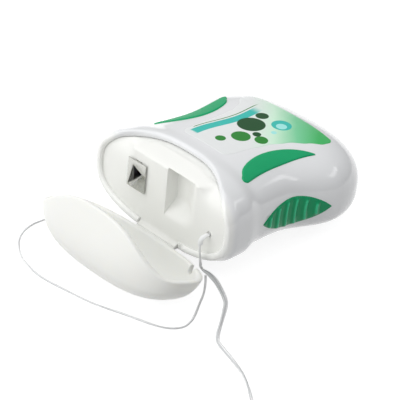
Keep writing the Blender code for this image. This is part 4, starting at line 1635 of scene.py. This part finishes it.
@dataclass
class MouthAssembly:
    """Deck insert, cutter and hinge web in the mouth."""

    finishes: Finishes
    front: float = 1.1 * MM
    plate: float = 1.4 * MM
    inset: float = 1.9 * MM
    skirt: float = 1.2 * MM
    skirt_end: float = 9.1 * MM
    fall: float = 8.5 * MM
    fall_power: float = 3.8
    platform_half: float = 13.5 * MM
    platform_top: float = 8.5 * MM
    platform_soft: float = 2.2 * MM
    recess_near: float = -11.1 * MM
    recess_far: float = -1.1 * MM
    recess_foot: float = -4.5 * MM
    recess_roof: float = 8.3 * MM
    recess_depth: float = 3.7 * MM
    recess_side_slope: tuple[float, float] = (0.9 * MM, 7.0 * MM)
    recess_foot_slope: tuple[float, float] = (0.6 * MM, 5.0 * MM)
    edge_radius: float = 0.22 * MM
    steep: float = 0.06 * MM
    exit_place: tuple[float, float] = (-17.5 * MM, -2.3 * MM)
    exit_radius: float = 0.68 * MM
    leg_side: float = 9.6 * MM
    leg_levels: tuple[float, float] = (-2.125 * MM, 5.325 * MM)
    leg_slot: Point = (8.0 * MM, 2.1 * MM, 0.45 * MM)
    tab_middle: Point = (1.85 * MM, 0.0, -9.95 * MM)
    tab_size: Point = (1.3 * MM, 14.4 * MM, 3.1 * MM)
    hollow_low: Point = (-1.9 * MM, 7.3 * MM, -1.7 * MM)
    hollow_high: Point = (4.1 * MM, 12.7 * MM, 4.2 * MM)
    tooth_start: float = -1.0 * MM
    tooth_lean: Point = (0.12 * MM, -1.37 * MM, -1.59 * MM)
    slit_weld: float = 0.12 * MM
    strip_half: float = 7.2 * MM
    strip_front: float = -0.22 * MM
    strip_top: float = -10.62 * MM
    cove: tuple[float, float] = (1.34 * MM, 1.27 * MM)

    def steep_edge(self, inside: float) -> float:
        """Share of the recess's depth at a distance inside one of its steep edges.

        Args:
            inside: The distance, below 0 outside the edge.

        Returns:
            The share, from 0 to 1.
        """
        if inside <= -self.edge_radius:
            return 0.0
        if inside < 0:
            drop = self.edge_radius - math.sqrt(self.edge_radius ** 2 - (inside + self.edge_radius) ** 2)
            return drop / self.recess_depth
        if inside < self.steep:
            depth = lerp(self.edge_radius, self.recess_depth - self.edge_radius, inside / self.steep)
            return depth / self.recess_depth
        rest = 1 - min((inside - self.steep) / self.edge_radius, 1.0)
        return 1 - self.edge_radius * (1 - math.sqrt(1 - rest ** 2)) / self.recess_depth

    def relief(self, side: float, up: float) -> float:
        """Where the deck's front lies along X at a place across and up.

        Args:
            side: Place across.
            up: Place up.

        Returns:
            The place along X.
        """
        soft = self.platform_soft
        kept = FORM.ease((self.platform_half + soft - abs(side)) / (2 * soft))
        kept *= FORM.ease((self.platform_top + soft * 0.7 - up) / soft)
        fall = self.fall * (max(up, 0.0) / (FORM.mouth_thickness / 2)) ** self.fall_power
        across, upward = self.steep_edge(self.recess_far - side), self.steep_edge(self.recess_roof - up)
        lead, length = self.recess_side_slope
        across *= FORM.ease((side - self.recess_near + lead) / length)
        lead, length = self.recess_foot_slope
        upward *= FORM.ease((up - self.recess_foot + lead) / length)
        return self.front + fall * (1 - kept) + self.recess_depth * across * upward

    def lines(self, half: float, step: float, edge: float, zones: Sequence[tuple]) -> list[float]:
        """Places of the grid's lines: even ones, closer ones in zones and a set round a steep edge.

        Args:
            half: Reach of the grid to either side of the middle.
            step: Distance of the even lines.
            edge: Where the steep edge lies.
            zones: Start, stop and number of steps of each closer zone.

        Returns:
            The places in order, none closer to the next than 0.012 mm.
        """
        count = round(2 * half / step)
        places = [2 * half * index / count - half for index in range(count + 1)]
        for start, stop, number in zones:
            places += [lerp(start, stop, index / number) for index in range(number + 1)]
        for share in (1.0, 0.8, 0.6, 0.4, 0.2, 0.08, 0.0):
            places += [edge + self.edge_radius * share, edge - self.steep - self.edge_radius * share]
        kept = []
        for place in sorted(places):
            if not kept or place - kept[-1] > 0.012 * MM:
                kept.append(place)
        return kept

    def deck(self) -> None:
        """Deck moulding: a relief with the soft-footed recess, trimmed to the shell's inside."""
        sides = self.lines(25.0 * MM, 0.75 * MM, self.recess_far, (
            (-15.9 * MM, -4.9 * MM, 34), (11.1 * MM, 15.9 * MM, 16),
        ))
        levels = self.lines(11.2 * MM, 0.6 * MM, self.recess_roof, (
            (-5.2 * MM, 0.0, 20), (7.8 * MM, 10.1 * MM, 18),
        ))

        def front(first: float, second: float) -> Point:
            """Place of a share of the relief."""
            side = sides[round(first * (len(sides) - 1))]
            up = levels[round(second * (len(levels) - 1))]
            return (self.relief(side, up), side, up)

        piece = Workbench.grid("deck_moulding", len(sides) - 1, len(levels) - 1, front)
        Workbench.push(piece, (self.plate, 0.0, 0.0))
        limit = self.tube("deck_limit", self.inset, -1.0 * MM, 14.0 * MM)
        Workbench.cut(piece, limit, "INTERSECT")
        (side, level), reach = self.exit_place, self.exit_radius
        ring = [
            (-2.0 * MM, side + reach * math.cos(turn), level + reach * math.sin(turn))
            for turn in (2 * math.pi * index / 32 for index in range(32))
        ]
        Workbench.cut(piece, Workbench.prism("exit", ring, (6.0 * MM, 0.0, 0.0)))
        low, top = Vector(self.hollow_low), Vector(self.hollow_high)
        Workbench.cut(piece, Workbench.box("tooth_hollow", (low + top) / 2, top - low))
        for level in self.leg_levels:
            Workbench.cut(piece, Workbench.box("leg_slot", (self.front, self.leg_side, level), self.leg_slot))
        Workbench.add_to(piece, self.tube("skirt", self.inset, self.front, self.skirt_end, self.skirt))
        tab = Workbench.box("hinge_tab", self.tab_middle, self.tab_size)
        Workbench.round_edges(tab, 0.1 * MM)
        Workbench.add_to(piece, tab)
        Workbench.smooth(piece, 42.0)
        Workbench.finish(piece, self.finishes.deck, "milky_insert", ["deck_insert"])

    def tube(self, name: str, inset: float, low: float, high: float, wall: float = 0.0) -> bpy.types.Object:
        """Solid, or ring with a wall, that follows the case's inside between two places.

        Args:
            name: Name of the solid.
            inset: Distance inside the case's skin.
            low: Where it starts; a ring starts behind the deck's front.
            high: Where it ends.
            wall: Wall of the ring, or 0 for a solid.

        Returns:
            The new object.
        """
        turns, rows, outside = 144, 12, 20.0 * MM

        def place(x: float, turn: float, depth: float) -> Point:
            """Point of the skin, with the mouth's own section in front of the mouth."""
            _, side, up = FORM.ring(max(x, 0.0), turn, depth)
            return (x, side, up)

        def surface(first: float, second: float) -> Point:
            """Place of a share of the solid or the ring."""
            row = round(second * (2 * rows + 2 if wall else rows))
            if not wall:
                return place(lerp(low, high, row / rows), first, inset)
            row %= 2 * rows + 2
            depth, run = (inset, row / rows) if row <= rows else (inset + wall, (2 * rows + 1 - row) / rows)
            _, side, up = FORM.ring(low, first, depth)
            start = self.relief(math.copysign(outside, side), up) + self.plate / 2
            return place(lerp(start, high, run), first, depth)

        piece = Workbench.grid(name, turns, 2 * rows + 2 if wall else rows, surface)
        Workbench.merge(piece, FINE_WELD)
        if not wall:
            for end in (low, high):
                with Workbench.picking(piece, lambda vertex: abs(vertex.co.x - end) < 0.01 * MM):
                    bpy.ops.mesh.edge_face_add()
        Workbench.outward(piece)
        return piece

    def cutter(self) -> None:
        """Cutter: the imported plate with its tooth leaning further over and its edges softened."""
        piece = Workbench.copy_node("cutter_clip", "cutter_plate")
        piece.data.transform(CASE_PLACE.inverted())
        with Workbench.picking(piece, lambda vertex: vertex.co.x < self.tooth_start):
            bpy.ops.transform.translate(value=self.tooth_lean)
        Workbench.merge(piece, self.slit_weld)
        Workbench.round_edges(piece, 0.05 * MM, 30.0)
        Workbench.smooth(piece, 32.0)
        Workbench.finish(piece, self.finishes.steel, "cutter_steel", ["cutter_clip"])

    def strip(self) -> None:
        """Hinge strip: the fold line at the lid's axis, blended up to the deck's front."""
        fold, thick, front, top = 0.35 * MM, 0.25 * MM, self.strip_front, self.strip_top
        reach, rise = self.cove
        profile = [
            (HINGE.x - fold * math.sin(turn), HINGE.z - fold * math.cos(turn))
            for turn in (math.pi * index / 12 for index in range(13))
        ]
        profile += [(front, HINGE.z + thick), (front, top)]
        profile += [
            (front + reach * math.sin(turn), top + rise * (1 - math.cos(turn)))
            for turn in (math.pi / 2 * index / 8 for index in range(1, 9))
        ]
        profile += [(self.front + 0.15 * MM, HINGE.z - thick), (HINGE.x + fold, HINGE.z - thick)]
        outline = [(x, -self.strip_half, z) for x, z in profile]
        piece = Workbench.prism("hinge_strip", outline, (0.0, 2 * self.strip_half, 0.0))
        Workbench.round_edges(piece, 0.06 * MM, 50.0)
        Workbench.smooth(piece, 32.0)
        Workbench.finish(piece, self.finishes.deck, "milky_insert", ["hinge_web"])

    def build(self) -> None:
        """Builds the pieces in the mouth."""
        self.deck()
        self.strip()
        self.cutter()


@dataclass
class LidAssembly:
    """Milky flip lid."""

    finishes: Finishes
    wall: float = 1.5 * MM
    gap: float = 0.3 * MM
    rows: tuple[int, int, int] = (40, 12, 60)
    sides: int = 144
    lip: float = 0.40 * MM
    notch_depth: float = 2.1 * MM
    notch_width: float = 2.0 * MM
    exit_side: float = -17.5 * MM
    fold_radius: float = 0.65 * MM
    fold_length: float = 15.0 * MM

    def build(self) -> None:
        """Models the closed lid's bowl and opens it about the hinge."""
        form = replace(FORM, collar_start=-4.5 * MM)
        surface = form.skin(self.wall, self.rows, self.lip, -self.gap, forward=True)
        piece = Workbench.grid("lid_bowl", self.sides, sum(self.rows), surface)
        Workbench.merge(piece)
        Workbench.close_ends(piece, (
            lambda place: place.x < SEAM_WELD - FORM.lid_depth,
            lambda place: Workbench.inner_end(place, self.wall - FORM.lid_depth, 10 * MM),
        ))
        Workbench.outward(piece)
        half, low = self.notch_width / 2, -FORM.mouth_thickness / 2
        reach = self.gap + self.notch_depth - half
        size = (2 * reach, self.notch_width, FORM.mouth_thickness / 2)
        Workbench.cut(piece, Workbench.box("floss_notch", (0.0, self.exit_side, low), size))
        for radius, depth, place, turn in (
            (half, FORM.mouth_thickness / 2, (-reach, self.exit_side, low), (0.0, 0.0, 0.0)),
            (self.fold_radius, self.fold_length, HINGE, (math.pi / 2, 0.0, 0.0)),
        ):
            Workbench.clear()
            bpy.ops.mesh.primitive_cylinder_add(
                vertices=24, radius=radius, depth=depth, location=place, rotation=turn,
            )
            bpy.ops.object.transform_apply(location=True, rotation=True, scale=True)
            Workbench.cut(piece, bpy.context.object)
        Workbench.round_some(piece, lambda place: place.x > -4 * MM and place.z < -7 * MM, 0.20 * MM)
        Workbench.merge(piece, FINE_WELD)
        Workbench.smooth(piece, 38.0)
        Workbench.finish(piece, self.finishes.lid, "milky_lid", ["flip_lid"], Body.LID, LID_PLACE)


@dataclass
class SpoolAssembly:
    """Carried-over pieces inside the case: the spool, its cradle and the floss that leaves it."""

    finishes: Finishes

    def build(self) -> None:
        """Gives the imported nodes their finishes."""
        finishes = {
            "spool_cradle": self.finishes.cradle, "spool_axle": self.finishes.cradle,
            "spool_bobbin": self.finishes.bobbin, "floss_winding": self.finishes.wound,
            "floss_lead": self.finishes.wound,
        }
        for node, finish in finishes.items():
            for slot in bpy.data.objects[node].material_slots:
                slot.material = finish
            log.info("node %s keeps its shape", node)


@dataclass
class FlossAssembly:
    """Free floss: the tail over the table, its coil and the thin side strand."""

    finishes: Finishes
    diameter: float = 1.0 * MM
    strand_diameter: float = 0.6 * MM
    tail_route: tuple = (
        (-14.48, -17.5, 14.75), (-15.88, -17.5, 14.75), (-16.9, -17.5, 13.9), (-17.35, -17.6, 11.4),
        (-17.28, -17.65, 8.9), (-17.2, -17.7, 7.0), (-16.7, -17.9, 5.5), (-15.6, -19.1, 4.2),
        (-15.2, -21.3, 2.8), (-15.8, -24.1, 1.4), (-17.1, -26.7, 0.62), (-19.6, -28.9, 0.52),
        (-23.7, -32.1, 0.52), (-27.0, -34.7, 0.52), (-28.8, -36.8, 0.52), (-29.7, -39.9, 0.52),
        (-30.8, -44.1, 0.52), (-32.5, -49.2, 0.52), (-34.7, -53.4, 0.52), (-37.1, -57.1, 0.52),
        (-40.4, -61.8, 0.52), (-44.12, -66.95, 0.52),
    )
    strand_route: tuple = (
        (-16.9, -19.2, 4.6), (-17.7, -20.0, 3.0), (-19.4, -21.2, 1.3), (-22.2, -22.8, 0.42),
        (-25.5, -25.0, 0.32), (-28.2, -26.4, 0.32), (-30.9, -26.7, 0.32), (-33.5, -25.0, 0.32),
        (-35.5, -21.4, 0.32), (-38.2, -13.0, 0.32), (-41.0, -4.6, 0.32), (-42.8, 5.5, 0.32),
        (-43.6, 12.3, 0.32), (-43.2, 17.6, 0.32), (-41.8, 22.8, 0.32), (-38.8, 27.7, 0.32),
        (-35.2, 30.6, 0.32), (-31.3, 31.7, 0.32), (-26.7, 31.3, 0.32), (-22.6, 30.6, 0.32),
    )
    coil_outer: float = 8.5 * MM
    coil_inner: float = 3.1 * MM
    coil_turns: float = 3.25
    coil_layer: float = 1.5 * MM
    coil_steps: int = 24

    @staticmethod
    def smooth_route(route: Sequence[Point], count: int) -> tuple[list[Vector], float]:
        """Reads even points from a smooth curve through a route.

        Args:
            route: The route's own points, in millimetres.
            count: Number of points to give back.

        Returns:
            The points and the route's length, in metres.
        """
        corners = [Vector(place) * MM for place in route]
        padded = [2 * corners[0] - corners[1]] + corners + [2 * corners[-1] - corners[-2]]
        fine = []
        for index in range(len(corners) - 1):
            before, first, last, after = padded[index:index + 4]
            for step in range(16):
                share = step / 16
                square = 2 * before - 5 * first + 4 * last - after
                cube = 3 * first - before - 3 * last + after
                place = 2 * first + (last - before) * share + square * share ** 2 + cube * share ** 3
                fine.append(place / 2)
        fine.append(corners[-1])
        total = sum((last - first).length for first, last in zip(fine, fine[1:]))
        points, run = [fine[0]], 0.0
        for first, last in zip(fine, fine[1:]):
            length = (last - first).length
            while len(points) < count - 1 and run + length >= total * len(points) / (count - 1):
                points.append(first.lerp(last, (total * len(points) / (count - 1) - run) / length))
            run += length
        return points + [fine[-1]], total

    def coil_points(self, tail: list[Vector]) -> list[Vector]:
        """Centre line of the coil, in on the table, up a layer and out again.

        Args:
            tail: Points of the tail, which the coil carries on.

        Returns:
            The points.
        """
        heading = (tail[-1] - tail[-2]).normalized()
        heading.z = 0
        start = tail[-1] + heading * 0.3 * MM
        entry = start + heading * self.diameter
        turned = math.atan2(-heading.x, heading.y)
        centre = entry - self.coil_outer * Vector((math.cos(turned), math.sin(turned), 0))
        points = [start]
        layer = round(self.coil_turns * self.coil_steps)
        half_turn = self.coil_steps // 2
        for step in range(2 * layer + half_turn + 1):
            inward, outward = min(step, layer), max(0, step - layer - half_turn)
            radius = self.coil_outer - (self.coil_outer - self.coil_inner) * (inward - outward) / layer
            climb = FORM.ease((step - layer) / half_turn)
            angle = turned + 2 * math.pi * step / self.coil_steps
            place = centre + radius * Vector((math.cos(angle), math.sin(angle), 0))
            place.z = self.diameter / 2 + 0.02 * MM + self.coil_layer * climb
            points.append(place)
        return points

    def tube(
        self, name: str, points: list[Vector], wide: Callable[[float], float],
        flat: Callable[[float], float], twist: Callable[[float], float], sides: int = 12,
    ) -> bpy.types.Object:
        """Models a cord as an oval tube that twists along its points.

        Args:
            name: Name of the piece.
            points: Its centre line.
            wide: Width at a share of the length.
            flat: Thickness at a share of the length.
            twist: Turn of the oval, in radians, at a share of the length.
            sides: Faces round the tube.

        Returns:
            The closed mesh, with its own map "fibre".
        """
        lengths = [0.0]
        for first, last in zip(points, points[1:]):
            lengths.append(lengths[-1] + (last - first).length)
        total = lengths[-1]
        frames = []
        up = Vector((0, 0, 1))
        for index, place in enumerate(points):
            ahead = points[min(index + 1, len(points) - 1)] - points[max(index - 1, 0)]
            ahead.normalize()
            side = ahead.cross(up)
            if side.length < 0.2:
                side = ahead.cross(Vector((0, 1, 0)))
            if frames and frames[-1][1].dot(side) < 0:
                side = -side
            side.normalize()
            frames.append((place, side, side.cross(ahead).normalized()))
        last_index = len(points) - 1

        def surface(first: float, second: float) -> Point:
            """Place of a share round and along the tube."""
            index = round(second * last_index)
            place, side, rise = frames[index]
            share = lengths[index] / total
            turn, roll = 2 * math.pi * first, twist(share)
            cosine, sine = math.cos(roll), math.sin(roll)
            x, y = wide(share) / 2 * math.cos(turn), flat(share) / 2 * math.sin(turn)
            return place + side * (x * cosine - y * sine) + rise * (x * sine + y * cosine)

        piece = Workbench.grid(name, sides, last_index, surface)
        Workbench.own_map(piece, "fibre", lambda first, second: (second * total, first))
        Workbench.merge(piece, CORD_WELD)
        with Workbench.picking(piece, lambda vertex: False):
            bpy.ops.mesh.select_non_manifold(extend=False, use_boundary=True, use_wire=False)
            bpy.ops.mesh.edge_face_add()
        Workbench.outward(piece)
        Workbench.smooth(piece, 50.0)
        return piece

    def build(self) -> None:
        tail, tail_length = self.smooth_route(self.tail_route, 161)
        strand, strand_length = self.smooth_route(self.strand_route, 161)
        coil = self.coil_points(self.smooth_route(self.tail_route, 31)[0])
        coil_length = sum((last - first).length for first, last in zip(coil, coil[1:]))
        full, thin, still = self.diameter, self.strand_diameter, Matrix.Identity(4)
        piece = self.tube(
            "tail_ribbon", tail, lambda share: lerp(1.25, 0.80, FORM.ease(share * 1.4 - 0.2)) * full,
            lambda share: lerp(0.50, 0.62, share) * full, lambda share: 0.7 * math.sin(share * 19.0),
        )
        Workbench.finish(piece, self.finishes.floss, "floss_white", ["floss_tail"], place=still)
        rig.cord(
            piece, exit=tail[0], length=tail_length, diameter=full, far_end="object",
            stiffness="limp", lay="loose", path=tail,
        )
        piece = self.tube(
            "coil_floss", coil, lambda share: full, lambda share: full, lambda share: 0.0,
        )
        Workbench.finish(piece, self.finishes.floss, "floss_white", ["floss_coil"], place=still)
        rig.cord(
            piece, exit=coil[0], length=coil_length, diameter=full, far_end="bare",
            stiffness="limp", lay="coiled", path=coil,
        )
        piece = self.tube(
            "side_strand", strand, lambda share: thin, lambda share: 0.8 * thin,
            lambda share: 1.2 * math.sin(share * 23.0), sides=10,
        )
        Workbench.finish(piece, self.finishes.strand, "floss_white", ["floss_side_strand"], place=still)
        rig.cord(
            piece, exit=strand[0], length=strand_length, diameter=thin, far_end="bare",
            stiffness="limp", lay="loose", path=strand,
        )


@dataclass
class Studio:
    """Pale floor, soft lights and the camera at the photograph's view."""

    centre: Point = (-270.126 * MM, -285.161 * MM, 218.329 * MM)
    right: Point = (0.73923075, -0.66754978, 0.08896736)
    up: Point = (0.26884564, 0.41364164, 0.86984057)
    back: Point = (-0.61746248, -0.61909441, 0.48524447)
    lens: float = 163.365
    bright_side: Point = (-0.60, 0.50, 0.65)
    air_levels: tuple[float, float] = (0.08, 0.94)
    floor_white: float = 0.46
    floor_glow: float = 0.83

    def camera(self) -> None:
        """Sets the camera at the photograph's view."""
        basis = Matrix((self.right, self.up, self.back)).transposed().to_4x4()
        lens = bpy.data.cameras.new("photo_view")
        lens.sensor_width = 36.0
        lens.lens = self.lens
        lens.clip_start, lens.clip_end = 0.01, 20.0
        camera = bpy.data.objects.new("photo_view", lens)
        bpy.context.scene.collection.objects.link(camera)
        camera.matrix_world = CASE_PLACE @ Matrix.Translation(self.centre) @ basis
        bpy.context.scene.camera = camera

    def light(
        self, name: str, place: Point, target: Point, size: float, level: float, height: float = 0.0,
    ) -> None:
        """Adds one soft light.

        Args:
            name: Name of the light.
            place: Where it hangs.
            target: The point that it looks at.
            size: Side of its square, in metres.
            level: Share of the light that shows white as white on a face turned to it.
            height: Its own upright side where it isn't a square.
        """
        bpy.ops.object.light_add(type="AREA", location=place)
        lamp = bpy.context.object
        lamp.name = name
        lamp.data.size = size
        if height:
            lamp.data.shape = "RECTANGLE"
            lamp.data.size_y = height
        distance = (Vector(place) - Vector(target)).length
        lamp.data.energy = level * math.pi ** 2 * distance ** 2
        lamp.rotation_euler = (Vector(place) - Vector(target)).to_track_quat("Z", "Y").to_euler()

    def floor(self) -> None:
        """White floor that keeps the object's shadow and shows white to the camera."""
        Workbench.clear()
        bpy.ops.mesh.primitive_plane_add(size=6.0, location=(0.0, 0.0, -0.02 * MM))
        bpy.ops.object.transform_apply(location=True, rotation=True, scale=True)
        plane = bpy.context.object
        plane.name = "studio_floor"
        board = Board.of("studio_floor_white")
        board.set(Base_Color=(self.floor_white,) * 3, Roughness=1.0, Specular_IOR_Level=0.0)
        rays = board.node("ShaderNodeLightPath").outputs
        seen = Value(board, rays["Is Camera Ray"]).larger(Value(board, rays["Is Glossy Ray"]))
        seen = seen.larger(Value(board, rays["Is Transmission Ray"]))
        glow = board.node(
            "ShaderNodeEmission", {}, {"Color": (1.0, 1.0, 1.0, 1.0), "Strength": seen * self.floor_glow},
        )
        total = board.node(
            "ShaderNodeAddShader", {}, {0: board.shader.outputs["BSDF"], 1: glow.outputs["Emission"]},
        )
        board.feed(board.tree.nodes["Material Output"].inputs["Surface"], total.outputs["Shader"])
        plane.data.materials.append(board.owner)
        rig.stage(plane)

    def world(self) -> None:
        """Pale surroundings, brighter towards one side and white to the camera."""
        board = Board(bpy.data.worlds.new("studio_air"))
        bpy.context.scene.world = board.owner
        way = board.node("ShaderNodeTexCoord").outputs["Generated"]
        along = board.node(
            "ShaderNodeVectorMath", {"operation": "DOT_PRODUCT"},
            {0: way, 1: Vector(self.bright_side).normalized()},
        )
        dark, bright = self.air_levels
        spread = board.node("ShaderNodeMapRange", {}, {
            "Value": along.outputs["Value"], "From Min": -1.0, "From Max": 1.0,
            "To Min": dark, "To Max": bright,
        })
        rays = board.node("ShaderNodeLightPath").outputs
        seen = Value(board, rays["Is Camera Ray"]).larger(Value(board, rays["Is Transmission Ray"]))
        air = board.tree.nodes["Background"].inputs
        board.feed(air["Strength"], seen.larger(Value(board, spread.outputs["Result"])))
        air["Color"].default_value = (1.0, 1.0, 1.0, 1.0)

    def build(self) -> None:
        """Builds the studio."""
        bpy.context.scene.view_settings.view_transform = "Standard"
        self.camera()
        self.world()
        self.floor()
        self.light("overhead_box", (0.10, 0.05, 0.60), (0.0, 0.0, 0.01), 0.30, 0.16)
        self.light("left_high_box", (-0.30, 0.15, 0.50), (0.0, 0.0, 0.01), 0.50, 0.17)
        self.light("left_low_box", (-0.50, 0.20, 0.20), (0.0, 0.0, 0.01), 0.50, 0.24)
        self.light("near_box", (0.40, -0.32, 0.41), (0.02, 0.0, 0.02), 0.36, 0.05, 0.08)


def main() -> None:
    """Builds the dispenser in order: camera and floss first, then the rigid pieces."""
    logging.basicConfig(level=logging.INFO, format="%(name)s: %(message)s")
    studio = Studio()
    studio.build()
    finishes = Finishes()
    FlossAssembly(finishes).build()
    CaseAssembly(finishes).build()
    MouthAssembly(finishes).build()
    LidAssembly(finishes).build()
    SpoolAssembly(finishes).build()
    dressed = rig.bounds()
    with open(SIZE_FILE, "w") as file:
        json.dump({"cad": [list(corner) for corner in CAD_BOX], "visual": [list(corner) for corner in dressed]}, file)


if __name__ == "__main__":
    main()
